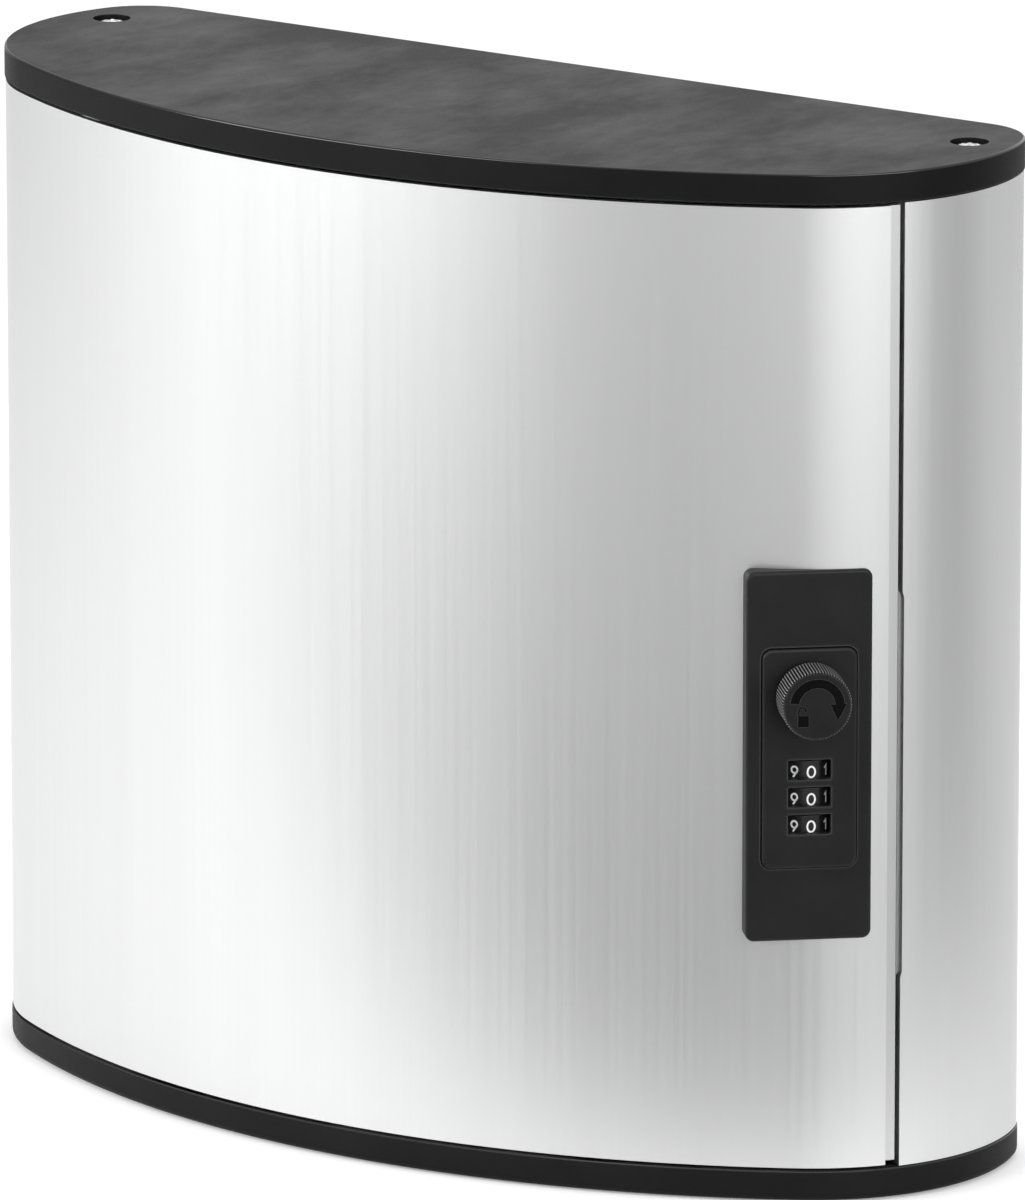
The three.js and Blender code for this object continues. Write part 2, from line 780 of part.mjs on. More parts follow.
// A prism that runs up the lock, its section given as across and out.
function lockColumn(points, low, high) {
  const flat = points.map((point) => new THREE.Vector2(point.x, -point.y));
  return solid(prismGeometry(flat, low, high).rotateX(-quarter));
}

// A frame whose back follows the door, with two screw towers that pass through the door.
function lockEscutcheon() {
  const low = -shoulderRadius * half;
  const blank = bevelledBlock(
    escutcheonWidth, escutcheonHeight, escutcheonCorner, low, escutcheonProud, escutcheonEdge,
  );
  const doorPoints = rimStretch(-quarter, quarter, capOverhang - seat).map(planInLock);
  const doorBody = lockColumn(doorPoints, -escutcheonHeight, escutcheonHeight);
  const opening = roundedBlock(
    caseWidth + seat + seat, caseHeight + seat + seat, caseCorner,
    low - overrun, escutcheonProud + overrun, -caseDrop,
  );
  const towers = [-towerRise, towerRise].map((y) => {
    return drum(towerRadius, caseRear, escutcheonProud * half, { x: 0, y });
  });
  const bores = [-towerRise, towerRise].map((y) =>
    drum(lockScrewRadius + slip, caseRear - overrun, caseRear + lockScrewLength, { x: 0, y }, smallSides),
  );
  return without(joined([blank.subtract(doorBody), ...towers]), [opening, ...bores]);
}

// The raised plate with its windows and the box behind it, open at the back.
function lockCase() {
  const front = bevelledBlock(caseWidth, caseHeight, caseCorner, caseRear, caseProud, caseEdge, -caseDrop);
  const flangeFront = caseFlangeLevel();
  const flange = roundedBlock(
    caseWidth + caseFlange + caseFlange, caseHeight + caseFlange + caseFlange, caseCorner,
    flangeFront - caseFlangeThickness, flangeFront, -caseDrop,
  );
  const body = front.add(flange);
  const cavity = box(
    -cavityHalf, cavityHalf, cavityLow, -caseDrop + caseHeight * half - caseWall,
    caseRear - overrun, caseProud - caseFaceWall,
  );
  const shelfBack = wheelAxis - wheelRadius;
  const shelves = [lowerShelfLow, wheelsHigh + seat].map((y) =>
    box(
      -cavityHalf - caseWall * half, cavityHalf + caseWall * half, y, y + caseShelf,
      shelfBack, caseProud - caseFaceWall + caseFaceWall * half,
    ),
  );
  const holeLow = lowerShelfLow + caseShelf * half;
  const shaftHole = post(shaftRadius + slip, holeLow, wheelsHigh + seat + caseShelf + overrun);
  const spindleHole = drum(
    spindleRadius + slip, caseProud - caseFaceWall - overrun, caseProud + overrun, { x: 0, y: knobRise },
  );
  return without(body.subtract(cavity).add(joined(shelves)), [shaftHole, spindleHole, ...windowCuts()]);
}

// The flange of the case rests behind the curved skin, so its level follows the skin at the flange's edge.
function caseFlangeLevel() {
  const edge = caseWidth * half + caseFlange;
  const inner = rimStretch(0, quarter, innerInset).map(planInLock);
  const levelAt = (x) => {
    const after = inner.findIndex((point) => point.x > x);
    const [a, b] = [inner[after - 1], inner[after]];
    return a.y + ((b.y - a.y) * (x - a.x)) / (b.x - a.x);
  };
  return Math.min(levelAt(-edge), levelAt(edge)) - seat;
}

// A round bar that runs up the lock on the axis of the wheels.
function post(radius, low, high, sides = smallSides) {
  const bar = new THREE.CylinderGeometry(radius, radius, high - low, sides);
  return solid(bar.translate(0, (low + high) * half, wheelAxis));
}

function windowCuts() {
  const high = caseProud + overrun;
  return wheelPlaces.flatMap((y) => {
    const opening = (rim, low) =>
      box(
        -windowWidth * half - rim, windowWidth * half + rim,
        y - windowHeight * half - rim, y + windowHeight * half + rim, low, high,
      );
    return [opening(0, caseProud - caseFaceWall - overrun), opening(windowRim, caseProud - windowRimDepth)];
  });
}

// The steel plate that closes the lock and clamps it to the towers, with the slot of the code lever.
function lockBackPlate() {
  const up = towerRise + towerRise + backPlateMargin + backPlateMargin;
  const plate = roundedBlock(backPlateWidth, up, backPlateMargin, backPlateRear, backPlateFront);
  const low = backPlateRear - overrun;
  const high = backPlateFront + overrun;
  const screwHoles = [-towerRise, towerRise].map((y) =>
    drum(lockScrewRadius + slip, low, high, { x: 0, y }, smallSides),
  );
  const spindleHole = drum(spindleRadius + slip, low, high, { x: 0, y: knobRise });
  const slotUp = leverStemHeight * half + slip;
  const slotLeft = -leverStemWidth * half - leverTravel * half - slip;
  const slot = box(slotLeft, -slotLeft, leverRise - slotUp, leverRise + slotUp, low, high);
  return without(plate, [...screwHoles, spindleHole, slot]);
}

function codeSetLever() {
  const stem = boxGeometry(
    -leverStemWidth * half, leverStemWidth * half, -leverStemHeight * half, leverStemHeight * half,
    backPlateRear - seat, backPlateFront + leverInside,
  );
  const options = { depth: leverPadThickness, bevelEnabled: false, curveSegments: cornerFacets };
  const padShape = roundedShape(leverPadWidth, leverPadHeight, leverPadHeight / 3);
  const padRear = backPlateRear - seat - leverPadThickness;
  const pad = new THREE.ExtrudeGeometry(padShape, options).translate(0, 0, padRear);
  return joined([stem, pad].map((part) => solid(part.translate(-leverTravel * half, leverRise, 0))));
}

// A ten-sided wheel with a flat for each figure and a gate in its lower face.
function numberWheel() {
  const rise = wheelHeight * half;
  const bore = (shaftRadius + slip) / Math.cos(Math.PI / wheelFlats);
  const profile = [
    [bore, -rise],
    [wheelRadius - wheelChamfer, -rise],
    [wheelRadius, wheelChamfer - rise],
    [wheelRadius, rise - wheelChamfer],
    [wheelRadius - wheelChamfer, rise],
    [bore, rise],
    [bore, -rise],
  ].map(([x, y]) => new THREE.Vector2(x, y));
  const blank = solid(new THREE.LatheGeometry(profile, wheelFlats).rotateY(Math.PI / wheelFlats));
  const gate = box(
    -gateWidth * half, gateWidth * half, -rise - overrun, gateHeight - rise,
    -wheelRadius - overrun, gateDepth - wheelRadius,
  );
  return blank.subtract(gate);
}

// A leaf spring along the left wall of the case, with a bowed finger beside each wheel.
function detentSpring() {
  const left = -cavityHalf + seat;
  const bowed = -wheelRadius - slip - springThickness;
  const spine = box(
    left, left + springThickness, wheelsLow, wheelsHigh,
    wheelAxis - springLength * half, wheelAxis + springLength * half,
  );
  const depthAt = (share) => wheelAxis + share * springLength;
  const inner = [left, bowed, bowed, left].map((x, i) => new THREE.Vector2(x, depthAt(springBendShares[i])));
  const outer = inner.map((point) => new THREE.Vector2(point.x + springThickness, point.y)).reverse();
  const fingers = wheelPlaces.map((y) =>
    lockColumn([...inner, ...outer], y - springFingerHeight * half, y + springFingerHeight * half),
  );
  return joined([spine, ...fingers]);
}

function circlePoints(radius, count, ribDepth = 0) {
  return Array.from({ length: count }, (_, i) => {
    const reach = radius - (i % 2) * ribDepth;
    const angle = (2 * Math.PI * i) / count;
    return new THREE.Vector2(reach * Math.cos(angle), reach * Math.sin(angle));
  });
}

// A knurled knob, its back at Z 0.
function knob() {
  const count = knobRibs + knobRibs;
  const straight = knobHeight - knobTopRound;
  const rings = [
    { z: 0, points: circlePoints(knobRadius - knobRibDepth, count, 0) },
    { z: knobRibDepth, points: circlePoints(knobRadius, count, knobRibDepth) },
    { z: straight, points: circlePoints(knobRadius, count, knobRibDepth) },
    { z: knobHeight, points: circlePoints(knobRadius - knobTopRound, count, 0) },
  ];
  const bore = drum(spindleRadius + slip, -overrun, spindleInKnob + slip, { x: 0, y: 0 });
  return without(solid(loftGeometry(rings)), [bore]);
}

// The spindle from inside the knob to the nut: round through the lock, square in the cam, round at its end.
function knobSpindle() {
  const front = caseProud + knobGap + spindleInKnob;
  const squareFront = backPlateRear - slip;
  const endRear = camRear - seat - nutThickness - slip;
  const collarFront = caseProud - caseFaceWall - seat;
  const centre = { x: 0, y: 0 };
  const side = spindleSquare * half;
  return joined([
    drum(spindleRadius, squareFront, front, centre),
    drum(spindleCollarRadius, collarFront - spindleCollarThickness, collarFront, centre),
    box(-side, side, -side, side, camRear, squareFront + overrun),
    drum(spindleEndRadius, endRear, camRear + overrun, centre, smallSides),
  ]);
}

// The latch cam hangs down when the lock is open.
function latchCam() {
  const tip = camWidth * half;
  const shape = new THREE.Shape();
  const lean = Math.asin((camHubRadius - tip) / (camReach - tip));
  shape.absarc(0, 0, camHubRadius, -lean, Math.PI + lean);
  shape.absarc(0, tip - camReach, tip, Math.PI + lean, 2 * Math.PI - lean);
  const options = { depth: camThickness, bevelEnabled: false, curveSegments: 8 };
  const blank = solid(new THREE.ExtrudeGeometry(shape, options).translate(0, 0, camRear));
  const side = spindleSquare * half + slip;
  return blank.subtract(box(-side, side, -side, side, camRear - overrun, camFront + overrun));
}

function camNut() {
  const high = camRear - seat;
  const low = high - nutThickness;
  const radius = (nutAcross * half) / Math.cos(Math.PI / 6);
  const blank = drum(radius, low, high, { x: 0, y: 0 }, 6);
  const axis = { x: 0, y: 0 };
  return blank.subtract(drum(spindleEndRadius + slip, low - overrun, high + overrun, axis, smallSides));
}

// Rubber pads on the left half of the strike's land.
function doorBuffer(middleHeight) {
  const right = strikeMiddle() - seat;
  const front = strikeFront + seat;
  const pad = [
    lockPlan(right - bufferWidth, front),
    lockPlan(right, front),
    lockPlan(right, front + bufferThickness),
    lockPlan(right - bufferWidth, front + bufferThickness),
  ];
  return prism(pad, middleHeight - bufferLength * half, middleHeight + bufferLength * half);
}

// The cabinet
const cabinet = new THREE.Group();

function place(group, name, body, material, position, rotation) {
  const piece = mesh(name, body, material);
  if (position) {
    piece.position.copy(position);
  }
  if (rotation) {
    piece.rotation.set(...rotation);
  }
  group.add(piece);
}

function addShellAndCaps() {
  place(cabinet, 'back_shell', backShell(), anodised());
  place(cabinet, 'bottom_cap', cap(capBottomRound), capPlastic());
  const topCap = mesh('top_cap', cap(capTopRound), capPlastic());
  topCap.geometry.scale(1, 1, -1);
  topCap.geometry.setIndex([...topCap.geometry.index.array].reverse());
  topCap.geometry.computeVertexNormals();
  topCap.position.z = height;
  cabinet.add(topCap);
}

function addCapScrews() {
  const headDrop = capHeight - capFloor;
  capScrewPlaces.forEach((spot, i) => {
    const side = i === 0 ? 'left' : 'right';
    const screw = capScrew();
    const top = new THREE.Vector3(spot.x, spot.y, height - headDrop + seat);
    const bottom = new THREE.Vector3(spot.x, spot.y, headDrop - seat);
    place(cabinet, `cap_screw_top_${side}`, screw, steel(), top);
    place(cabinet, `cap_screw_bottom_${side}`, screw, steel(), bottom, [Math.PI, 0, 0]);
  });
}

function addHinge() {
  const pinLow = capHeight - hingePinInCap;
  const bushLow = capHeight + seat;
  const turned = [Math.PI, 0, 0];
  place(cabinet, 'hinge_pin_bottom', hingePin(), steel(), new THREE.Vector3(hinge.x, hinge.y, pinLow));
  place(cabinet, 'hinge_pin_top', hingePin(), steel(), new THREE.Vector3(hinge.x, hinge.y, height - pinLow), turned);
  place(cabinet, 'hinge_bush_bottom', hingeBush(), nylon(), new THREE.Vector3(hinge.x, hinge.y, bushLow));
  place(
    cabinet, 'hinge_bush_top', hingeBush(), nylon(), new THREE.Vector3(hinge.x, hinge.y, height - bushLow), turned,
  );
}

function addRails() {
  railHeights.forEach((z, i) => {
    const railBack = innerWallY - seat;
    place(cabinet, `hook_rail_${i + 1}`, hookRail(), railPlastic(), new THREE.Vector3(0, railBack, z));
    railScrewPlaces.forEach((x, side) => {
      const screw = plainScrew(railScrewRadius, railScrewHeadRadius, railScrewHeadHeight, railScrewLength);
      const name = `rail_screw_${i + 1}_${side === 0 ? 'left' : 'right'}`;
      const front = new THREE.Vector3(x, railBack - railThickness - seat, z);
      place(cabinet, name, screw, steel(), front, [quarter, 0, 0]);
    });
  });
}

function addDoor() {
  place(cabinet, 'door_panel', doorPanel(), anodised());
  place(cabinet, 'door_buffer_upper', doorBuffer(height * half + bufferFromMiddle), rubber());
  place(cabinet, 'door_buffer_lower', doorBuffer(height * half - bufferFromMiddle), rubber());
}

function addLock() {
  const lock = new THREE.Group();
  lock.applyMatrix4(lockMatrix);
  cabinet.add(lock);
  place(lock, 'lock_escutcheon', lockEscutcheon(), lockPlastic());
  place(lock, 'lock_case', lockCase(), lockPlastic());
  place(lock, 'lock_back_plate', lockBackPlate(), steel());
  place(lock, 'code_set_lever', codeSetLever(), lockPlastic());
  const screw = plainScrew(lockScrewRadius, lockScrewHeadRadius, lockScrewHeadHeight, lockScrewLength);
  const screwLevel = backPlateRear - seat;
  const turned = [Math.PI, 0, 0];
  place(lock, 'lock_screw_upper', screw, steel(), new THREE.Vector3(0, towerRise, screwLevel), turned);
  place(lock, 'lock_screw_lower', screw, steel(), new THREE.Vector3(0, -towerRise, screwLevel), turned);
  const shaftLow = lowerShelfLow + caseShelf * half + slip;
  place(lock, 'wheel_shaft', post(shaftRadius, shaftLow, wheelsHigh + seat + caseShelf), steel());
  place(lock, 'detent_spring', detentSpring(), steel());
  wheelPlaces.forEach((y, i) => {
    place(lock, `number_wheel_${i + 1}`, numberWheel(), lockPlastic(), new THREE.Vector3(0, y, wheelAxis));
  });
  const turning = new THREE.Group();
  turning.position.set(0, knobRise, 0);
  lock.add(turning);
  place(turning, 'knob', knob(), lockPlastic(), new THREE.Vector3(0, 0, caseProud + knobGap));
  place(turning, 'knob_spindle', knobSpindle(), steel());
  place(turning, 'latch_cam', latchCam(), steel());
  place(turning, 'cam_nut', camNut(), steel());
}

addShellAndCaps();
addCapScrews();
addHinge();
addRails();
addDoor();
addLock();

export default cabinet;
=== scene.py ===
# Looks of the wall key cabinet: smooth skins, caps, lock, materials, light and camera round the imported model.
import json
import math
import bpy
from mathutils import Matrix, Vector
from mathutils.geometry import tessellate_polygon


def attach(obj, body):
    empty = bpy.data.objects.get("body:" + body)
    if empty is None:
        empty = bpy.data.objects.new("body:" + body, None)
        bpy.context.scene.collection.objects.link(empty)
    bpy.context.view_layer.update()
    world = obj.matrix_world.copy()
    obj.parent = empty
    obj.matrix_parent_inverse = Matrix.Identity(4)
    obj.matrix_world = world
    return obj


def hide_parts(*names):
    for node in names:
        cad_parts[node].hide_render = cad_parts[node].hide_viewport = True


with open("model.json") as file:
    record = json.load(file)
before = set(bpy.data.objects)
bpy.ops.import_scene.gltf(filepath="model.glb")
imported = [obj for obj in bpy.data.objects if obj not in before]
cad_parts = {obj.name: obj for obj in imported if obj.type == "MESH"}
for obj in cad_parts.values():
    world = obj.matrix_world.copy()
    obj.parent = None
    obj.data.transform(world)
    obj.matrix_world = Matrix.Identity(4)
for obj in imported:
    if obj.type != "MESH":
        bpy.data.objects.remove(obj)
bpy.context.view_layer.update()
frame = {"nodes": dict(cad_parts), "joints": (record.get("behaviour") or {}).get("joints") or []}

# Lengths are millimetres here and become metres when a mesh is made
MM = 0.001
QUARTER = math.pi / 2
UPRIGHT = Matrix.Diagonal((MM, MM, MM, 1))

# The cabinet, as in the model's source
WIDTH = 312.0
HEIGHT = 280.0
DEPTH = 118.0
SHOULDER_RADIUS = 57.0
SHOULDER_SHARE = 0.7146
CORNER_RADIUS = 20.0
CAP_HEIGHT = 8.4
CAP_OVERHANG = 0.3
CAP_FLOOR = 3.0
CAP_RIM = 3.4
WALL = 1.8
SEAT = 0.3
SEAM_TURN = math.radians(58.6)
SEAM_GAP = 1.15
DOOR_GAP = 0.9
STRIP_WIDTH = 2.9
STRIP_STEP = 0.6
STRIP_NOTCH = 1.1
HINGE_TUBE = 5.5
HINGE_BORE = 3.7
CAP_SCREW = (141.5, 36.02)
SCREW_SUNK = 0.7
WELL_RADIUS = 5.25
SHANK_HOLE = 2.0
CHANNEL_RADIUS = 4.6
CHANNEL_SLOT = 1.6
LOWER_ROUND = 2.3
UPPER_ROUND = 0.8
WALL_HOLE_X = 100
WALL_HOLE_Z = 33
WALL_HOLE_RADIUS = 2.5
RAIL_HEIGHTS = (68, 146, 224)
RAIL_HOLE_X = 112
RAIL_HOLE_RADIUS = 1.65

# The relief in the fixed strip's edge: its bottom, top, depth and slant
RELIEF = (62.2, 164.6, 0.45, 1.5)

wall_y = DEPTH / 2
side_y = wall_y - DEPTH * (1 - SHOULDER_SHARE)
centre_across = WIDTH / 2 - SHOULDER_RADIUS
centre_back = DEPTH * SHOULDER_SHARE
shoulder_drop = centre_back - SHOULDER_RADIUS
front_radius = (centre_back ** 2 + centre_across ** 2 - SHOULDER_RADIUS ** 2) / (2 * shoulder_drop)
shoulder_turn = math.asin(centre_across / (front_radius - SHOULDER_RADIUS))
corner_turn = math.acos((side_y - wall_y + CORNER_RADIUS) / (SHOULDER_RADIUS - CORNER_RADIUS))
corner_across = centre_across + (SHOULDER_RADIUS - CORNER_RADIUS) * math.sin(corner_turn)
seam_half_turn = SEAM_GAP / 2 / SHOULDER_RADIUS
fixed_turn = SEAM_TURN + seam_half_turn
door_turn = SEAM_TURN - seam_half_turn
hinge = (-(WIDTH / 2 - CAP_OVERHANG - HINGE_TUBE), side_y)
inner_inset = CAP_OVERHANG + WALL


def rim_point(turn, inset=0.0):
    """A point of the cabinet's outline in plan, by the turn of its outward normal from -Y."""
    size, side = abs(turn), -1 if turn < 0 else 1
    if size < shoulder_turn:
        x, y, radius = 0.0, wall_y - DEPTH + front_radius, front_radius
    elif size < corner_turn:
        x, y, radius = centre_across, side_y, SHOULDER_RADIUS
    else:
        x, y, radius = corner_across, wall_y - CORNER_RADIUS, CORNER_RADIUS
    radius -= inset
    return Vector((side * (x + radius * math.sin(size)), y - radius * math.cos(size)))


def arc_radius(size):
    """The radius of the outline's arc that holds a turn."""
    if size < shoulder_turn:
        return front_radius
    if size < corner_turn:
        return SHOULDER_RADIUS
    return CORNER_RADIUS


def rim_turns(start, end, step=1.1):
    """Turns along the outline, points at most a step of millimetres apart, with the arcs' ends among them."""
    stops = [start, end]
    for mark in (-math.pi, -corner_turn, -shoulder_turn, shoulder_turn, corner_turn, math.pi):
        if start + 1e-6 < mark < end - 1e-6:
            stops.append(mark)
    stops.sort()
    turns = []
    for low, high in zip(stops, stops[1:]):
        radius = arc_radius(abs(low + high) / 2)
        count = max(1, math.ceil((high - low) * radius / step))
        turns += [low + (high - low) * i / count for i in range(count)]
    return turns + [end]


def rim_line(start, end, inset, step=1.1):
    return [rim_point(turn, inset) for turn in rim_turns(start, end, step)]


def outward(turn):
    return Vector((math.sin(turn), -math.cos(turn)))


def along(turn):
    return Vector((math.cos(turn), math.sin(turn)))


def circle(x, y, radius, count=48, start=0.0, end=2 * math.pi):
    whole = abs(end - start - 2 * math.pi) < 1e-9
    steps = count if whole else count - 1
    return [
        Vector((x + radius * math.cos(start + (end - start) * i / steps),
                y + radius * math.sin(start + (end - start) * i / steps)))
        for i in range(count)
    ]


def rounded_rect(width, height, radius, steps=8, x=0.0, y=0.0):
    points = []
    for i, (side, rise) in enumerate(((1, 1), (-1, 1), (-1, -1), (1, -1))):
        centre = (x + side * (width / 2 - radius), y + rise * (height / 2 - radius))
        points += circle(*centre, radius, steps, i * QUARTER, (i + 1) * QUARTER)
    return points


# Mesh building
def make_object(name, verts, faces, matrix=None):
    mesh = bpy.data.meshes.new(name)
    placed = UPRIGHT if matrix is None else matrix
    mirrored = placed.determinant() < 0
    mesh.from_pydata([tuple(v) for v in verts], [], [tuple(f)[::-1] if mirrored else tuple(f) for f in faces])
    mesh.transform(placed)
    mesh.validate()
    mesh.update()
    thing = bpy.data.objects.new(name, mesh)
    bpy.context.scene.collection.objects.link(thing)
    return thing


def area_of(points):
    return sum(a.x * b.y - b.x * a.y for a, b in zip(points, points[1:] + points[:1])) / 2


def prism(outline, low, high, holes=()):
    """Vertices and faces of an upright prism with straight holes."""
    loops = [outline if area_of(outline) > 0 else outline[::-1]]
    loops += [hole if area_of(hole) < 0 else hole[::-1] for hole in holes]
    flat = [point for loop in loops for point in loop]
    count = len(flat)
    verts = [(p.x, p.y, low) for p in flat] + [(p.x, p.y, high) for p in flat]
    faces, first = [], 0
    for loop in loops:
        size = len(loop)
        for i in range(size):
            a, b = first + i, first + (i + 1) % size
            faces.append((a, b, b + count, a + count))
        first += size
    if holes:
        for a, b, c in tessellate_polygon([[(p.x, p.y, 0) for p in loop] for loop in loops]):
            turn = (flat[b] - flat[a]).cross(flat[c] - flat[a])
            a, b, c = (a, b, c) if turn > 0 else (a, c, b)
            faces += [(a + count, b + count, c + count), (c, b, a)]
    else:
        faces += [tuple(range(count, 2 * count)), tuple(reversed(range(count)))]
    return verts, faces


def stack(rings):
    """A closed solid through rings of equal counts, their points anticlockwise seen from the last ring."""
    size = len(rings[0])
    verts = [point for ring in rings for point in ring]
    faces = []
    for level in range(len(rings) - 1):
        for i in range(size):
            a, b = level * size + i, level * size + (i + 1) % size
            faces.append((a, b, b + size, a + size))
    faces.append(tuple(reversed(range(size))))
    faces.append(tuple(range(len(verts) - size, len(verts))))
    return verts, faces


def together(*parts):
    verts, faces = [], []
    for some_verts, some_faces in parts:
        shift = len(verts)
        verts += some_verts
        faces += [tuple(i + shift for i in face) for face in some_faces]
    return verts, faces


def lathe(profile, count=48, ribs=None):
    """A solid of revolution about Z. ribs gives the rings with flutes, four points a rib, and their depth."""
    rings = []
    for level, (radius, z) in enumerate(profile):
        sunk = ribs[1] if ribs and level in ribs[0] else 0.0
        ring = []
        for i in range(count):
            reach = radius - sunk * (i // 2 % 2)
            angle = 2 * math.pi * i / count
            ring.append((reach * math.cos(angle), reach * math.sin(angle), z))
        rings.append(ring)
    return stack(rings)


def block(x0, x1, y0, y1, z0, z1):
    return prism([Vector((x0, y0)), Vector((x1, y0)), Vector((x1, y1)), Vector((x0, y1))], z0, z1)


def applied(thing):
    """Bakes the modifiers of a new piece into its mesh."""
    graph = bpy.context.evaluated_depsgraph_get()
    mesh = bpy.data.meshes.new_from_object(thing.evaluated_get(graph))
    thing.modifiers.clear()
    old = thing.data
    thing.data = mesh
    bpy.data.meshes.remove(old)
    return thing


def carve(thing, tools, operation="DIFFERENCE"):
    """Cuts or joins solids, given as (verts, faces) in the same units and matrix as the piece."""
    for verts, faces, matrix in tools:
        tool = make_object("tool", verts, faces, matrix)
        step = thing.modifiers.new("carve", "BOOLEAN")
        step.operation = operation
        step.solver = "EXACT"
        step.object = tool
        bpy.context.view_layer.update()
        applied(thing)
        bpy.data.objects.remove(tool)
    return thing


def soften(thing, width, sharp=35.0, segments=3, bevel_angle=30.0):
    """Rounds the sharp edges and shades smooth, keeping flat faces flat."""
    if width:
        bevel = thing.modifiers.new("edge", "BEVEL")
        bevel.width = width * MM
        bevel.segments = segments
        bevel.limit_method = "ANGLE"
        bevel.angle_limit = math.radians(bevel_angle)
        bevel.use_clamp_overlap = True
        bpy.context.view_layer.update()
        applied(thing)
    mesh = thing.data
    mesh.polygons.foreach_set("use_smooth", [True] * len(mesh.polygons))
    mesh.set_sharp_from_angle(angle=math.radians(sharp))
    weigh = thing.modifiers.new("weighted", "WEIGHTED_NORMAL")
    weigh.keep_sharp = True
    weigh.weight = 80
    return thing


def dress(thing, body, material, slot, *nodes):
    thing.data.materials.clear()
    thing.data.materials.append(material)
    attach(thing, body)
    if nodes:
        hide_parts(*nodes)
    return thing


# Materials
def add_node(tree, kind, **values):
    node = tree.nodes.new(kind)
    for key, value in values.items():
        setattr(node, key, value)
    return node


class Nodes:
    """A node tree under construction, with short ways to add and join nodes."""

    def __init__(self, name):
        self.material = bpy.data.materials.new(name)
        self.material.use_nodes = True
        self.tree = self.material.node_tree
        self.tree.nodes.clear()
        self.shader = self.add("ShaderNodeBsdfPrincipled")
        output = self.add("ShaderNodeOutputMaterial")
        self.join(self.shader, "BSDF", output, "Surface")
        self.place = self.add("ShaderNodeTexCoord")

    def add(self, kind, **values):
        return add_node(self.tree, kind, **values)

    def join(self, source, output, target, name):
        self.tree.links.new(source.outputs[output], target.inputs[name])

    def set(self, **values):
        for key, value in values.items():
            self.shader.inputs[key.replace("_", " ")].default_value = value

    def scaled(self, scale):
        mapping = self.add("ShaderNodeMapping")
        mapping.inputs["Scale"].default_value = scale
        self.join(self.place, "Object", mapping, "Vector")
        return mapping

    def noise(self, scale, detail=4.0, stretch=(1, 1, 1), roughness=0.5):
        texture = self.add("ShaderNodeTexNoise")
        texture.inputs["Scale"].default_value = scale
        texture.inputs["Detail"].default_value = detail
        texture.inputs["Roughness"].default_value = roughness
        self.join(self.scaled(stretch), "Vector", texture, "Vector")
        return texture

    def ramp(self, source, output, low, high, at_low, at_high):
        span = self.add("ShaderNodeMapRange")
        span.inputs["From Min"].default_value = low
        span.inputs["From Max"].default_value = high
        span.inputs["To Min"].default_value = at_low
        span.inputs["To Max"].default_value = at_high
        self.join(source, output, span, "Value")
        return span

    def blend(self, share, colour_a, colour_b):
        mix = self.add("ShaderNodeMix", data_type="RGBA")
        mix.inputs[6].default_value = (*colour_a, 1)
        mix.inputs[7].default_value = (*colour_b, 1)
        self.join(share, 0, mix, "Factor")
        return mix

    def tint(self, base, share, colour):
        mix = self.add("ShaderNodeMix", data_type="RGBA")
        self.tree.links.new(base.outputs[2], mix.inputs[6])
        mix.inputs[7].default_value = (*colour, 1)
        self.join(share, 0, mix, "Factor")
        return mix

    def colour(self, mix):
        self.tree.links.new(mix.outputs[2], self.shader.inputs["Base Color"])

    def edges(self, radius, low, high, at_high):
        """A mask that grows on edges, from how far a rounded normal leaves the real one; materials tint edges
        with it, a painted highlight where the tint is paler.
        """
        rounded = self.add("ShaderNodeBevel", samples=4)
        rounded.inputs["Radius"].default_value = radius * MM
        real = self.add("ShaderNodeNewGeometry")
        dot = self.add("ShaderNodeVectorMath", operation="DOT_PRODUCT")
        self.join(rounded, "Normal", dot, 0)
        self.join(real, "Normal", dot, 1)
        return self.ramp(dot, "Value", high, low, 0.0, at_high)

    def bumps(self, *layers):
        """Layers of (texture, output, strength, depth in mm), the finest last."""
        last = None
        for texture, output, strength, distance in layers:
            bump = self.add("ShaderNodeBump")
            bump.inputs["Strength"].default_value = strength
            bump.inputs["Distance"].default_value = distance * MM
            self.join(texture, output, bump, "Height")
            if last:
                self.join(last, "Normal", bump, "Normal")
            last = bump
        self.join(last, "Normal", self.shader, "Normal")


def anodised(name, tone):
    """Satin anodised aluminium with fine die lines along the extrusion."""
    n = Nodes(name)
    n.set(Metallic=1.0, IOR=1.45)
    lines = n.noise(900, 3, (1, 1, 0.006))
    broad = n.noise(60, 3, (1, 1, 0.02))
    cloud = n.noise(14, 4)
    grain = n.noise(5200, 2)
    base = n.blend(n.ramp(broad, "Fac", 0.3, 0.7, 0, 1), (tone, tone * 1.002, tone * 1.006),
                   (tone * 1.025, tone * 1.028, tone * 1.032))
    base = n.tint(base, n.ramp(lines, "Fac", 0.5, 0.75, 0, 0.16), (tone * 0.95, tone * 0.953, tone * 0.96))
    base = n.tint(base, n.ramp(cloud, "Fac", 0.5, 0.8, 0, 0.25), (tone * 0.98, tone * 0.98, tone * 0.985))
    n.colour(base)
    rough = n.ramp(lines, "Fac", 0.3, 0.7, 0.38, 0.42)
    n.join(rough, 0, n.shader, "Roughness")
    n.bumps((lines, "Fac", 0.08, 0.004), (grain, "Fac", 0.2, 0.003))
    return n.material


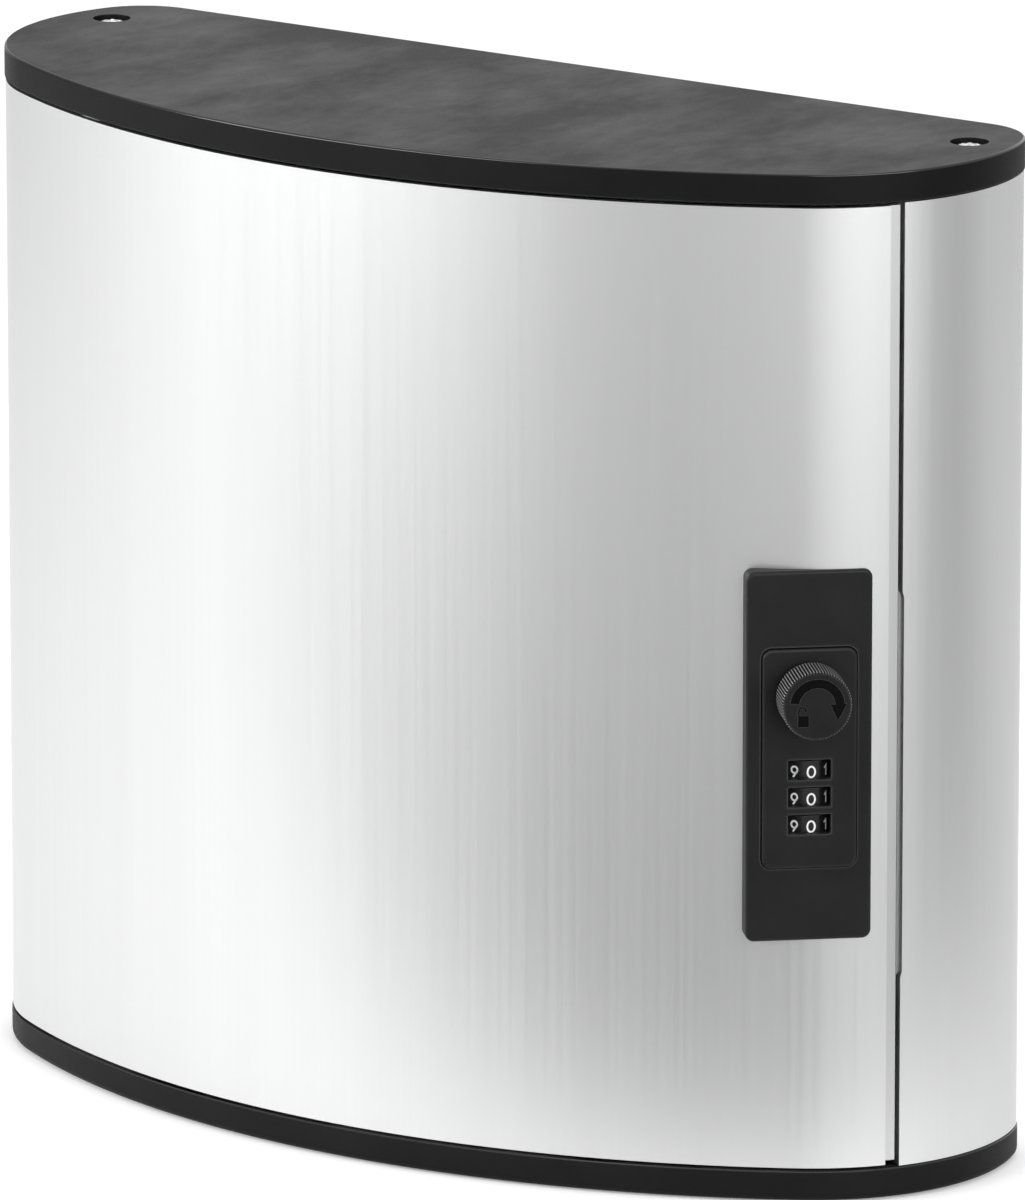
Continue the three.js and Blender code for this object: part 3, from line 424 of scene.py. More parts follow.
def moulded(name, dark, light, rough, grain_scale, grain_depth, edge, edge_highlight_share, mottle=30.0,
            ior=1.4, top_sheen=0.0, edge_highlight_mask=(0.5, 0.75, 0.985)):
    """Moulded plastic with a spark-eroded grain, faint mottling, a painted sheen on faces that look up and
    paler edges as a painted highlight.
    """
    n = Nodes(name)
    n.set(Metallic=0.0, IOR=ior)
    cloud = n.noise(mottle, 5, roughness=0.6)
    grain = n.noise(grain_scale, 3)
    cells = n.add("ShaderNodeTexVoronoi")
    cells.inputs["Scale"].default_value = grain_scale * 0.7
    n.join(n.place, "Object", cells, "Vector")
    base = n.blend(n.ramp(cloud, "Fac", 0.3, 0.7, 0, 1), dark, light)
    base = n.tint(base, n.ramp(grain, "Fac", 0.55, 0.8, 0, 0.3), tuple(v * 1.35 for v in light))
    # Painted sheen: a lighter grey, streaked by noise, only on faces that look up
    if top_sheen:
        sheen_streaks = n.noise(13, 9, (1.8, 0.9, 1), 0.72)
        real = n.add("ShaderNodeNewGeometry")
        split = n.add("ShaderNodeSeparateXYZ")
        n.join(real, "Normal", split, "Vector")
        flat = n.ramp(split, "Z", 0.6, 0.98, 0, 1)
        share = n.add("ShaderNodeMath", operation="MULTIPLY")
        n.join(n.ramp(sheen_streaks, "Fac", 0.42, 0.72, 0, 1), 0, share, 0)
        n.join(flat, 0, share, 1)
        base = n.tint(base, share, (top_sheen, top_sheen, top_sheen))
    # Edges tinted toward the edge colour: where it is paler, this is a painted highlight
    base = n.tint(base, n.edges(*edge_highlight_mask, edge_highlight_share), edge)
    n.colour(base)
    n.join(n.ramp(grain, "Fac", 0.3, 0.7, rough[0], rough[1]), 0, n.shader, "Roughness")
    n.bumps((cloud, "Fac", 0.05, 0.05), (cells, "Distance", 0.3, grain_depth),
            (grain, "Fac", 0.4, grain_depth))
    return n.material


def bright_metal(name, colour, rough, scale, stretch=(1, 1, 1)):
    """Plated or bare steel with fine scratches and faint blotches."""
    n = Nodes(name)
    n.set(Metallic=1.0)
    scratches = n.noise(scale, 4, stretch)
    blotch = n.noise(220, 4)
    base = n.blend(n.ramp(blotch, "Fac", 0.35, 0.7, 0, 1), colour, tuple(v * 0.82 for v in colour))
    n.colour(base)
    n.join(n.ramp(scratches, "Fac", 0.3, 0.7, rough[0], rough[1]), 0, n.shader, "Roughness")
    n.bumps((scratches, "Fac", 0.25, 0.006), (blotch, "Fac", 0.1, 0.01))
    return n.material


def white_paint():
    n = Nodes("figure_white")
    n.set(IOR=1.45)
    cloud = n.noise(2500, 3)
    n.colour(n.blend(n.ramp(cloud, "Fac", 0.35, 0.7, 0, 1), (0.94, 0.94, 0.93), (1, 1, 0.99)))
    n.join(n.ramp(cloud, "Fac", 0.3, 0.7, 0.4, 0.6), 0, n.shader, "Roughness")
    n.bumps((cloud, "Fac", 0.2, 0.01))
    return n.material


aluminium = anodised("satin_anodised_aluminium", 0.67)
strip_aluminium = anodised("strip_anodised_aluminium", 0.56)
# The caps' pale edge colour is a painted highlight, and their lighter streaky grey on faces that look up is a
# painted sheen.
cap_black = moulded("cap_plastic_grained", (0.003, 0.003, 0.0031), (0.006, 0.006, 0.0061), (0.44, 0.58),
                    2600, 0.02, (0.11, 0.11, 0.112), 0.5, ior=1.22, top_sheen=0.08)
edge_black = moulded("cap_edge_plastic", (0.004, 0.004, 0.0041), (0.007, 0.007, 0.0071), (0.12, 0.18),
                     2600, 0.003, (0.08, 0.08, 0.082), 0.4, ior=1.6)
# The pale edge colours of the lock, knob and wheel plastics are painted highlights.
lock_black = moulded("lock_plastic_satin", (0.005, 0.005, 0.0052), (0.009, 0.009, 0.0093), (0.38, 0.48),
                     4200, 0.01, (0.1, 0.1, 0.104), 0.6, 60.0, ior=1.3, edge_highlight_mask=(0.9, 0.8, 0.998))
knob_black = moulded("knob_plastic", (0.004, 0.004, 0.0042), (0.009, 0.009, 0.0093), (0.32, 0.42),
                     4200, 0.008, (0.2, 0.2, 0.206), 0.7, 90.0, ior=1.3, edge_highlight_mask=(0.2, 0.7, 0.97))
# A darker, less reflective black for the knob's sign recesses and rib valleys: painted shade
recess_shade_black = moulded("recess_painted_shade", (0.003, 0.003, 0.003), (0.005, 0.005, 0.005), (0.55, 0.7),
                       5200, 0.01, (0.004, 0.004, 0.004), 0.3, ior=1.12)
wheel_black = moulded("wheel_plastic_black", (0.010, 0.010, 0.0105), (0.015, 0.015, 0.0155), (0.28, 0.4),
                      4200, 0.006, (0.16, 0.16, 0.17), 0.7, 90.0)
# Pale grey for the knob's rib crests: a painted highlight on the black knob
crest_highlight_grey = moulded("knob_crest_painted_highlight", (0.3, 0.3, 0.306), (0.36, 0.36, 0.366), (0.3, 0.4),
                      5200, 0.004, (0.2, 0.2, 0.2), 0.2, ior=1.5)
figure_white = white_paint()
chrome = bright_metal("bright_plated_screw", (0.86, 0.86, 0.87), (0.12, 0.24), 900)
zinc = bright_metal("zinc_plated_steel", (0.66, 0.66, 0.68), (0.26, 0.42), 1400, (1, 1, 0.05))
nylon = moulded("natural_nylon", (0.70, 0.68, 0.61), (0.76, 0.74, 0.68), (0.4, 0.55), 2400, 0.01,
                (0.85, 0.84, 0.8), 0.3)
rail_grey = moulded("rail_plastic_grey", (0.50, 0.51, 0.51), (0.56, 0.57, 0.57), (0.42, 0.55), 2200, 0.02,
                    (0.68, 0.68, 0.68), 0.35)
rubber = moulded("soft_rubber", (0.012, 0.012, 0.012), (0.02, 0.02, 0.02), (0.8, 0.95), 1800, 0.03,
                 (0.03, 0.03, 0.03), 0.3)


# Where the lock is: its frame comes from the joint of its knob
def joint(name):
    return next(one for one in frame["joints"] if one["name"] == name)


KNOB_RISE = 17.0
knob_spot = Vector(joint("knob_turn")["pos_m"]) / MM
lock_out = Vector(joint("knob_turn")["axis"]).normalized()
lock_right = Vector((-lock_out.y, lock_out.x, 0))
lock_origin = knob_spot - Vector((0, 0, KNOB_RISE))


def lock_frame(origin):
    """Matrix from the lock's across, up and out, in millimetres, to metres."""
    matrix = Matrix((
        (lock_right.x, 0, lock_out.x, origin.x),
        (lock_right.y, 0, lock_out.y, origin.y),
        (0, 1, 0, origin.z),
        (0, 0, 0, 1),
    ))
    return UPRIGHT @ matrix


in_lock = lock_frame(lock_origin)
in_knob = lock_frame(knob_spot)


def plan_in_lock(point):
    offset = Vector((point.x - lock_origin.x, point.y - lock_origin.y, 0))
    return offset.dot(lock_right), offset.dot(lock_out)


door_face = [plan_in_lock(rim_point(turn, CAP_OVERHANG)) for turn in rim_turns(0.0, door_turn)]


def door_level(across):
    """How far out of the lock's plane the door's skin is, at a place across the lock."""
    for (x0, w0), (x1, w1) in zip(door_face, door_face[1:]):
        if x0 <= across <= x1:
            return w0 + (w1 - w0) * (across - x0) / (x1 - x0)
    return door_face[-1][1]


def inset_at_level(turn, level):
    """How far inside the shoulder a line square to it meets a level of the lock."""
    centre_out = plan_in_lock(Vector((centre_across, side_y)))[1]
    lock_turn = math.atan2(lock_out.x, -lock_out.y)
    return SHOULDER_RADIUS - (level - centre_out) / math.cos(turn - lock_turn)


# Lock sizes
ESCUTCHEON = (33.7, 100.8, 2.4)
ESCUTCHEON_PROUD = 1.2
CASE = (25.3, 59.7, 2.6)
CASE_DROP = 0.45
CASE_PROUD = 2.4
CASE_REAR = -15.4
CASE_WALL = 2.0
FACE_WALL = 1.6
STRIKE_REAR = -17.95
STRIKE_FRONT = -16.15
TOWER = (3.5, 42.0)
WHEEL_PITCH = 7.45
WHEEL_MIDDLE = 19.4 - CASE[1] / 2 - CASE_DROP
WHEEL_RADIUS = 7.6
WINDOW = (11.4, 5.3)
WHEEL_FLATS = 10
WHEEL_HALF = 3.55
FIGURE_LEAN = math.radians(6.5)
FIGURE_WIDTH = 2.3
FIGURE_HEIGHT = 2.9
FIGURE_STROKE = 0.5
FIGURE_SHIFT = -1.2
KNOB_RADIUS = 9.4
KNOB_GAP = 1.2
KNOB_HEIGHT = 11.3
KNOB_RIBS = 72
RIB_DEPTH = 0.32
SIGN_DEPTH = 0.45
SPINDLE_HOLE = 3.75


# Door
def door_outline():
    skin_turn = door_turn - STRIP_WIDTH / SHOULDER_RADIUS
    root_turn = skin_turn - WALL / SHOULDER_RADIUS
    stiff_turn = skin_turn - 1.1 / SHOULDER_RADIUS
    stiff_end = inset_at_level(stiff_turn, STRIKE_FRONT + 2.0)
    strip_inset = CAP_OVERHANG + STRIP_STEP
    outer = rim_line(-QUARTER, skin_turn, CAP_OVERHANG)
    strip = rim_line(skin_turn, door_turn, strip_inset)
    back = [rim_point(door_turn, strip_inset + WALL), rim_point(stiff_turn, strip_inset + WALL)]
    web_end = rim_point(stiff_turn, stiff_end)
    lean = along(stiff_turn) * -WALL
    web = [web_end, web_end + lean]
    reach_turn = root_turn - WALL / SHOULDER_RADIUS
    distance = SHOULDER_RADIUS - CAP_OVERHANG - HINGE_TUBE
    inner_radius = SHOULDER_RADIUS - inner_inset
    meet = math.acos((distance ** 2 + HINGE_TUBE ** 2 - inner_radius ** 2) / (2 * distance * HINGE_TUBE))
    meet_point = Vector((hinge[0] + HINGE_TUBE * math.cos(meet), hinge[1] - HINGE_TUBE * math.sin(meet)))
    meet_turn = -math.atan2(-(meet_point.x + centre_across), side_y - meet_point.y)
    inner = rim_line(meet_turn, reach_turn, inner_inset)[::-1]
    tube = circle(hinge[0], hinge[1], HINGE_TUBE, 40, -meet, math.pi)
    return outer + strip + back + web + inner + tube[1:-1]


def make_door():
    low, high = CAP_HEIGHT + DOOR_GAP, HEIGHT - CAP_HEIGHT - DOOR_GAP
    bore = circle(hinge[0], hinge[1], HINGE_BORE, 32)
    door = make_object("door_skin", *prism(door_outline(), low, high, [bore]))
    gap = SEAT * 2
    opening = rounded_rect(CASE[0] + gap, CASE[1] + gap, CASE[2], y=-CASE_DROP)
    tools = [(*prism(opening, -14, 14), in_lock)]
    for side in (-1, 1):
        tools.append((*prism(circle(0, side * TOWER[1], TOWER[0] + SEAT, 32), -14, 1), in_lock))
    skin_turn = door_turn - STRIP_WIDTH / SHOULDER_RADIUS
    before, behind = CAP_OVERHANG - 1, CAP_OVERHANG + STRIP_STEP + WALL + 1
    past_turn = door_turn + 0.01
    foot = [rim_point(skin_turn, before), rim_point(past_turn, before),
            rim_point(past_turn, behind), rim_point(skin_turn, behind)]
    tools.append((*prism(foot, low - 1, low + STRIP_NOTCH), None))
    carve(door, tools)
    soften(door, 0.16, segments=2, sharp=30)
    dress(door, "door", aluminium, "anodised", "door_panel")
    # The edge strip's faces get a darker tone of the same aluminium.
    door.data.materials.append(strip_aluminium)
    strip_middle = rim_point((skin_turn + door_turn) / 2, CAP_OVERHANG + STRIP_STEP)
    for face in door.data.polygons:
        centre = Vector((face.center.x, face.center.y)) / MM
        if (centre - strip_middle).length < STRIP_WIDTH / 2 - 0.12:
            face.material_index = 1
    return door


# Fixed shell
def shell_outline():
    flange_turn = QUARTER + math.asin((HINGE_TUBE + 2.6) / (SHOULDER_RADIUS - CAP_OVERHANG))
    inner_turn = fixed_turn + WALL / (SHOULDER_RADIUS - inner_inset)
    web_left = rim_point(fixed_turn, inset_at_level(fixed_turn, (STRIKE_FRONT + STRIKE_REAR) / 2))
    web_right = web_left + along(fixed_turn) * WALL
    outer_right = rim_line(fixed_turn, math.pi, CAP_OVERHANG)
    outer_left = rim_line(-math.pi, -flange_turn, CAP_OVERHANG)
    inner_left = rim_line(-math.pi, -flange_turn, inner_inset)[::-1]
    inner_right = rim_line(inner_turn, math.pi, inner_inset)[::-1]
    return outer_right + outer_left + inner_left + inner_right + [web_right, web_left]


def lock_plan(across, out):
    point = lock_origin + lock_right * across + lock_out * out
    return Vector((point.x, point.y))


def make_shell():
    low, high = CAP_HEIGHT + SEAT, HEIGHT - CAP_HEIGHT - SEAT
    shell = make_object("cabinet_shell", *prism(shell_outline(), low, high))
    middle = plan_in_lock(rim_point(fixed_turn, inset_at_level(fixed_turn, STRIKE_FRONT)))[0]
    land = [lock_plan(middle - 5.6, STRIKE_REAR), lock_plan(middle + 9, STRIKE_REAR),
            lock_plan(middle + 9, STRIKE_FRONT), lock_plan(middle - 5.6, STRIKE_FRONT)]
    joins = [(*prism(land, low, high), None)]
    cuts = []
    for side in (-1, 1):
        x, y = side * CAP_SCREW[0], CAP_SCREW[1]
        joins.append((*prism(circle(x, y, CHANNEL_RADIUS, 40), low, high), None))
        reach = rim_point(QUARTER + math.asin((y - side_y) / SHOULDER_RADIUS), inner_inset - WALL / 2).x
        ends = sorted((x + side * 3.3, side * reach))
        joins.append((*block(ends[0], ends[1], y - WALL / 2, y + WALL / 2, low, high), None))
        cuts.append((*prism(circle(x, y, SHANK_HOLE, 24), low - 1, high + 1), None))
        slot = sorted((x - side * (CHANNEL_RADIUS + 1), x))
        half = CHANNEL_SLOT / 2
        cuts.append((*block(slot[0], slot[1], y - half, y + half, low - 1, high + 1), None))
    carve(shell, joins, "UNION")
    bottom, top, deep, slant = RELIEF
    edge = rim_point(fixed_turn, CAP_OVERHANG)
    right, out = along(fixed_turn), outward(fixed_turn)
    relief = UPRIGHT @ Matrix((
        (right.x, 0, out.x, edge.x),
        (right.y, 0, out.y, edge.y),
        (0, 1, 0, 0),
        (0, 0, 0, 1),
    ))
    shape = [Vector(p) for p in ((-1, bottom - slant), (0, bottom - slant), (deep, bottom),
                                 (deep, top), (0, top + slant), (-1, top + slant))]
    cuts.append((*prism(shape, -2.7, 0.9), relief))
    for x in (-WALL_HOLE_X, WALL_HOLE_X):
        for z in (WALL_HOLE_Z, HEIGHT - WALL_HOLE_Z):
            cuts.append(back_hole(WALL_HOLE_RADIUS, x, z))
    for z in RAIL_HEIGHTS:
        for x in (-RAIL_HOLE_X, RAIL_HOLE_X):
            cuts.append(back_hole(RAIL_HOLE_RADIUS, x, z))
    carve(shell, cuts)
    soften(shell, 0.2, segments=2, sharp=30)
    return dress(shell, "cabinet_body", aluminium, "anodised", "back_shell")


def back_hole(radius, x, z):
    turned = UPRIGHT @ Matrix.Translation((x, wall_y, z)) @ Matrix.Rotation(QUARTER, 4, "X")
    return (*prism(circle(0, 0, radius, 32), -2, 4), turned)


# Caps, drawn as the lower one and turned over for the upper one
def cap_solid(name, edge_round, matrix):
    levels = [(edge_round * (1 - math.sin(a)), edge_round * (1 - math.cos(a)))
              for a in [math.radians(v) for v in (90, 75, 60, 45, 30, 15, 0)]]
    levels.append((CAP_HEIGHT - 0.25, 0.0))
    levels.append((CAP_HEIGHT, 0.25))
    turns = rim_turns(-math.pi, math.pi, 1.3)[:-1]
    rings = [[(*rim_point(turn, inset), z) for turn in turns] for z, inset in levels]
    cap = make_object(name, *stack(rings), matrix)
    pocket = rim_line(-math.pi, math.pi, CAP_RIM, 3.0)[:-1]
    carve(cap, [(*prism(pocket, CAP_FLOOR, CAP_HEIGHT + 1), matrix)])
    joins, wells = [], []
    for share in (-0.25, 0, 0.25):
        x = share * WIDTH
        front = wall_y - DEPTH + front_radius - math.sqrt(front_radius ** 2 - x ** 2) + CAP_RIM / 2
        joins.append((*block(x - 1, x + 1, front, wall_y - 3, CAP_FLOOR - 1, CAP_HEIGHT), matrix))
    for side in (-1, 1):
        spot = (side * CAP_SCREW[0], CAP_SCREW[1])
        joins.append((*prism(circle(*spot, 8, 48), CAP_FLOOR - 1, CAP_HEIGHT), matrix))
        wells.append((*prism(circle(*spot, WELL_RADIUS, 64), -1, CAP_HEIGHT - CAP_FLOOR), matrix))
        wells.append((*prism(circle(*spot, SHANK_HOLE, 24), 0, CAP_HEIGHT + 1), matrix))
    joins.append((*prism(circle(*hinge, 5.4, 40), CAP_FLOOR - 1, CAP_HEIGHT), matrix))
    back = wall_y - inner_inset - 0.25
    joins.append((*block(-115, 115, back - 2.2, back, CAP_FLOOR - 1, CAP_HEIGHT + 6), matrix))
    outer = inner_inset + 0.25
    start, end = math.radians(65), math.radians(73)
    skirt = rim_line(start, end, outer) + rim_line(start, end, outer + 2.2)[::-1]
    joins.append((*prism(skirt, CAP_FLOOR - 1, CAP_HEIGHT + 6), matrix))
    wells.append((*prism(circle(*hinge, 2.25, 24), CAP_HEIGHT - 5.75, CAP_HEIGHT + 1), matrix))
    carve(cap, joins, "UNION")
    carve(cap, wells)
    return soften(cap, 0.18, segments=2, sharp=40, bevel_angle=50)


def dress_cap(cap, node):
    """Grained plastic, with the rounded upper edges smoother where hands have rubbed them."""
    dress(cap, "cabinet_body", cap_black, "cap_plastic", node)
    cap.data.materials.append(edge_black)
    for face in cap.data.polygons:
        if 0.2 < face.normal.z < 0.97:
            face.material_index = 1


def make_caps():
    dress_cap(cap_solid("lower_cap", LOWER_ROUND, UPRIGHT), "bottom_cap")
    flipped = UPRIGHT @ Matrix.Translation((0, 0, HEIGHT)) @ Matrix.Diagonal((1, 1, -1, 1))
    dress_cap(cap_solid("upper_cap", UPPER_ROUND, flipped), "top_cap")


# Cap screws: a domed head with a cross recess
def bar(half_length, half_width, z):
    """The corners of a flat bar at a height."""
    sides = ((-1, -1), (1, -1), (1, 1), (-1, 1))
    return [(x * half_length, y * half_width, z) for x, y in sides]


def make_cap_screw(name, node, x, y, z, down):
    top = CAP_HEIGHT - CAP_FLOOR - SEAT - SCREW_SUNK
    head = [(1.75, -17.0), (1.75, 0.0), (3.9, 0.0), (4.1, 0.25), (4.1, top - 1.2)]
    head += [(3.9, top - 0.7), (3.4, top - 0.3), (2.4, top - 0.08), (1.0, top)]
    turn = Matrix.Rotation(math.pi, 4, "X") if down else Matrix.Identity(4)
    matrix = UPRIGHT @ Matrix.Translation((x, y, z)) @ turn
    spun = matrix @ Matrix.Rotation(math.radians(28), 4, "Z")
    screw = make_object(name, *lathe(head, 48), spun)
    cuts = []
    for angle in (0, QUARTER):
        rings = [bar(0.6, 0.3, top - 1.5), bar(2.2, 0.5, top + 0.3)]
        cuts.append((*stack(rings), spun @ Matrix.Rotation(angle, 4, "Z")))
    carve(screw, cuts)
    soften(screw, 0.05, segments=2, sharp=35)
    return dress(screw, "cabinet_body", chrome, "bright_screw", node)


# Lock
def make_escutcheon():
    width, height, radius = ESCUTCHEON
    outer_levels = [(None, 0.0), (ESCUTCHEON_PROUD - 0.9, 0.0)]
    for angle in (15, 30, 45, 60, 75, 90):
        a = math.radians(angle)
        outer_levels.append((ESCUTCHEON_PROUD - 0.9 * (1 - math.sin(a)), 0.9 * (1 - math.cos(a))))
    rings = []
    for level, inset in outer_levels:
        points = rounded_rect(width - 2 * inset, height - 2 * inset, radius - inset, 8)
        rings.append([(p.x, p.y, door_level(p.x) - 0.05 if level is None else level) for p in points])
    gap = SEAT
    inner = rounded_rect(CASE[0] + 2 * gap, CASE[1] + 2 * gap, CASE[2] + gap, 8, y=-CASE_DROP)
    rings.append([(p.x, p.y, ESCUTCHEON_PROUD) for p in inner])
    rings.append([(p.x, p.y, ESCUTCHEON_PROUD - 0.5) for p in inner])
    rings.append([(p.x, p.y, door_level(p.x) - 0.05) for p in inner])
    size = len(rings[0])
    verts = [point for ring in rings for point in ring]
    faces = []
    for level in range(len(rings)):
        after = (level + 1) % len(rings)
        for i in range(size):
            j = (i + 1) % size
            faces.append((level * size + i, level * size + j, after * size + j, after * size + i))
    plate = make_object("escutcheon", verts, faces, in_lock)
    soften(plate, 0, sharp=32)
    towers = []
    for side in (-1, 1):
        towers.append(prism(circle(0, side * TOWER[1], TOWER[0], 40), CASE_REAR, door_level(0.0) + 0.2,
                            [circle(0, side * TOWER[1], 1.65, 24)]))
    legs = make_object("escutcheon_towers", *together(*towers), in_lock)
    soften(legs, 0.2, segments=2)
    dress(legs, "door", lock_black, "lock_plastic")
    return dress(plate, "door", lock_black, "lock_plastic", "lock_escutcheon")


def make_case():
    width, height, radius = CASE
    levels = [(CASE_REAR, 0.0), (CASE_PROUD - 0.6, 0.0)]
    for angle in (30, 60, 90):
        a = math.radians(angle)
        levels.append((CASE_PROUD - 0.6 * (1 - math.sin(a)), 0.6 * (1 - math.cos(a))))
    rings = []
    for level, inset in levels:
        points = rounded_rect(width - 2 * inset, height - 2 * inset, radius - inset, 8, y=-CASE_DROP)
        rings.append([(p.x, p.y, level) for p in points])
    case = make_object("lock_front", *stack(rings), in_lock)
    x = width / 2 - CASE_WALL
    top, bottom = height / 2 - CASE_DROP - CASE_WALL, -height / 2 - CASE_DROP + CASE_WALL
    cuts = [(*block(-x, x, bottom, top, CASE_REAR - 1, CASE_PROUD - FACE_WALL), in_lock)]
    cuts.append((*prism(circle(0, KNOB_RISE, SPINDLE_HOLE, 40), -1, CASE_PROUD + 1), in_lock))
    for i in range(3):
        y = WHEEL_MIDDLE + WHEEL_PITCH * (1 - i)
        inner = rounded_rect(WINDOW[0], WINDOW[1], 0.25, 4, y=y)
        outer = rounded_rect(WINDOW[0] + 0.3, WINDOW[1] + 0.3, 0.35, 4, y=y)
        cuts.append((*prism(inner, -1, CASE_PROUD + 1), in_lock))
        rim = [[(p.x, p.y, CASE_PROUD - 0.3) for p in inner], [(p.x, p.y, CASE_PROUD + 0.05) for p in outer]]
        cuts.append((*stack(rim), in_lock))
    carve(case, cuts)
    soften(case, 0.08, segments=2, sharp=32, bevel_angle=40)
    return dress(case, "door", lock_black, "lock_plastic", "lock_case")


def arrow_shape():
    """The knob's curved arrow: a band over the top, with its head at the right, pointing down."""
    inner, outer = 4.9, 7.3
    start, end = math.radians(172), math.radians(4)
    band = circle(0, 0, outer, 40, start, end)
    head = [Vector((7.9, 0.5)), Vector((5.5, -4.0)), Vector((3.4, 0.5))]
    return band + head + circle(0, 0, inner, 40, end, start)


def padlock_shapes():
    """A small open padlock: a square body and a shackle that stands free at one side."""
    x, y = -3.7, -4.0
    half_width, half_height = 1.45, 1.55
    body = [Vector((x + across * half_width, y + rise * half_height))
            for across, rise in ((-1, -1), (1, -1), (1, 1), (-1, 1))]
    foot, top, middle = y + half_height - 0.1, y + half_height + 1.3, x - 0.3
    wide, narrow, free_end = 1.15, 0.7, top - 0.4
    outer = circle(middle, top, wide, 16, 0, math.pi)
    inner = circle(middle, top, narrow, 16, math.pi, 0)
    shackle = [Vector((middle + wide, free_end)), *outer, Vector((middle - wide, foot))]
    shackle += [Vector((middle - narrow, foot)), *inner, Vector((middle + narrow, free_end))]
    return [body, shackle]


def make_knob():
    base, top = KNOB_GAP + CASE_PROUD, KNOB_GAP + CASE_PROUD + KNOB_HEIGHT
    profile = [(KNOB_RADIUS - 0.7, base), (KNOB_RADIUS - 0.25, base + 0.25), (KNOB_RADIUS - 0.25, base + 0.8),
               (KNOB_RADIUS, base + 1.05), (KNOB_RADIUS - 0.06, top - 0.75), (KNOB_RADIUS - 0.15, top - 0.4),
               (KNOB_RADIUS - 0.32, top - 0.16), (KNOB_RADIUS - 0.6, top)]
    knob = make_object("turning_knob", *lathe(profile, 4 * KNOB_RIBS, ((3, 4, 5, 6), RIB_DEPTH)), in_knob)
    signs = [arrow_shape(), *padlock_shapes()]
    cuts = [(*prism(shape, top - SIGN_DEPTH, top + 1), in_knob) for shape in signs]
    cuts.append((*prism(circle(0, 0, SPINDLE_HOLE, 40), base - 1, base + 8.25), in_knob))
    carve(knob, cuts)
    soften(knob, 0, sharp=35)
    knob.data.materials.clear()
    dress(knob, "knob", knob_black, "lock_plastic", "knob")
    knob.data.materials.append(recess_shade_black)
    knob.data.materials.append(crest_highlight_grey)
    floor = top - SIGN_DEPTH
    ribbed = profile[3:7]
    local = in_knob.inverted()
    # The sign recesses and the rib valleys take the darker material as painted shade; the rib crests take the
    # pale grey as a painted highlight.
    for face in knob.data.polygons:
        out = (local @ face.center).z
        reach = (local @ face.center).xy.length
        if reach < KNOB_RADIUS - 0.75 and floor - 0.05 < out < top - 0.04:
            face.material_index = 1
        for (r0, z0), (r1, z1) in zip(ribbed, ribbed[1:]):
            if z0 < out < z1:
                full = r0 + (r1 - r0) * (out - z0) / (z1 - z0)
                if reach > full - 0.03:
                    face.material_index = 2
                elif reach < full - 0.28:
                    face.material_index = 1
                else:
                    face.material_index = 0
    return knob


# Figures drawn with strokes in a unit box
def arc(x, y, rx, ry, start, end, count=18):
    first, last = math.radians(start), math.radians(end)
    turns = [first + (last - first) * i / (count - 1) for i in range(count)]
    return [Vector((x + rx * math.cos(turn), y + ry * math.sin(turn))) for turn in turns]


def line(*pairs):
    return [Vector(pair) for pair in pairs]


def figure_strokes(value):
    nine = [arc(0, 0.19, 0.36, 0.31, -20, 340, 30), line((0.34, 0.10), (-0.16, -0.5))]
    return {
        0: [arc(0, 0, 0.45, 0.5, 0, 360, 36)],
        1: [line((-0.22, 0.24), (0.08, 0.5), (0.08, -0.5))],
        2: [arc(0, 0.19, 0.33, 0.31, 165, -35) + line((-0.36, -0.5), (0.38, -0.5))],
        3: [arc(-0.02, 0.24, 0.29, 0.26, 150, -85), arc(-0.02, -0.22, 0.34, 0.28, 85, -150)],
        4: [line((0.16, -0.5), (0.16, 0.5), (-0.4, -0.2), (0.4, -0.2))],
        5: [line((0.3, 0.5), (-0.24, 0.5), (-0.3, 0.06)) + arc(0, -0.17, 0.36, 0.33, 128, -148)],
        6: [[-p for p in stroke] for stroke in nine],
        7: [line((-0.36, 0.5), (0.36, 0.5), (-0.12, -0.5))],
        8: [arc(0, 0.26, 0.27, 0.24, 0, 360, 26), arc(0, -0.24, 0.33, 0.26, 0, 360, 28)],
        9: nine,
    }[value]


def ribbon(points, half, low, high):
    """A flat stroke of even width along points, as a thin solid."""
    closed = (points[0] - points[-1]).length < 1e-6
    path = points[:-1] if closed else points
    count = len(path)
    left, right = [], []
    for i, point in enumerate(path):
        before = path[i - 1] if closed or i else None
        after = path[(i + 1) % count] if closed or i < count - 1 else None
        a = (point - before).normalized() if before is not None else (after - point).normalized()
        b = (after - point).normalized() if after is not None else a
        normal = Vector((-(a + b).y, (a + b).x)).normalized()
        stretch = half / max(0.5, normal.dot(Vector((-a.y, a.x))))
        left.append(point + normal * stretch)
        right.append(point - normal * stretch)
    if closed:
        outer, inner = (left, right) if abs(area_of(left)) > abs(area_of(right)) else (right, left)
        return prism(outer, low, high, [inner])
    return prism(left + right[::-1], low, high)


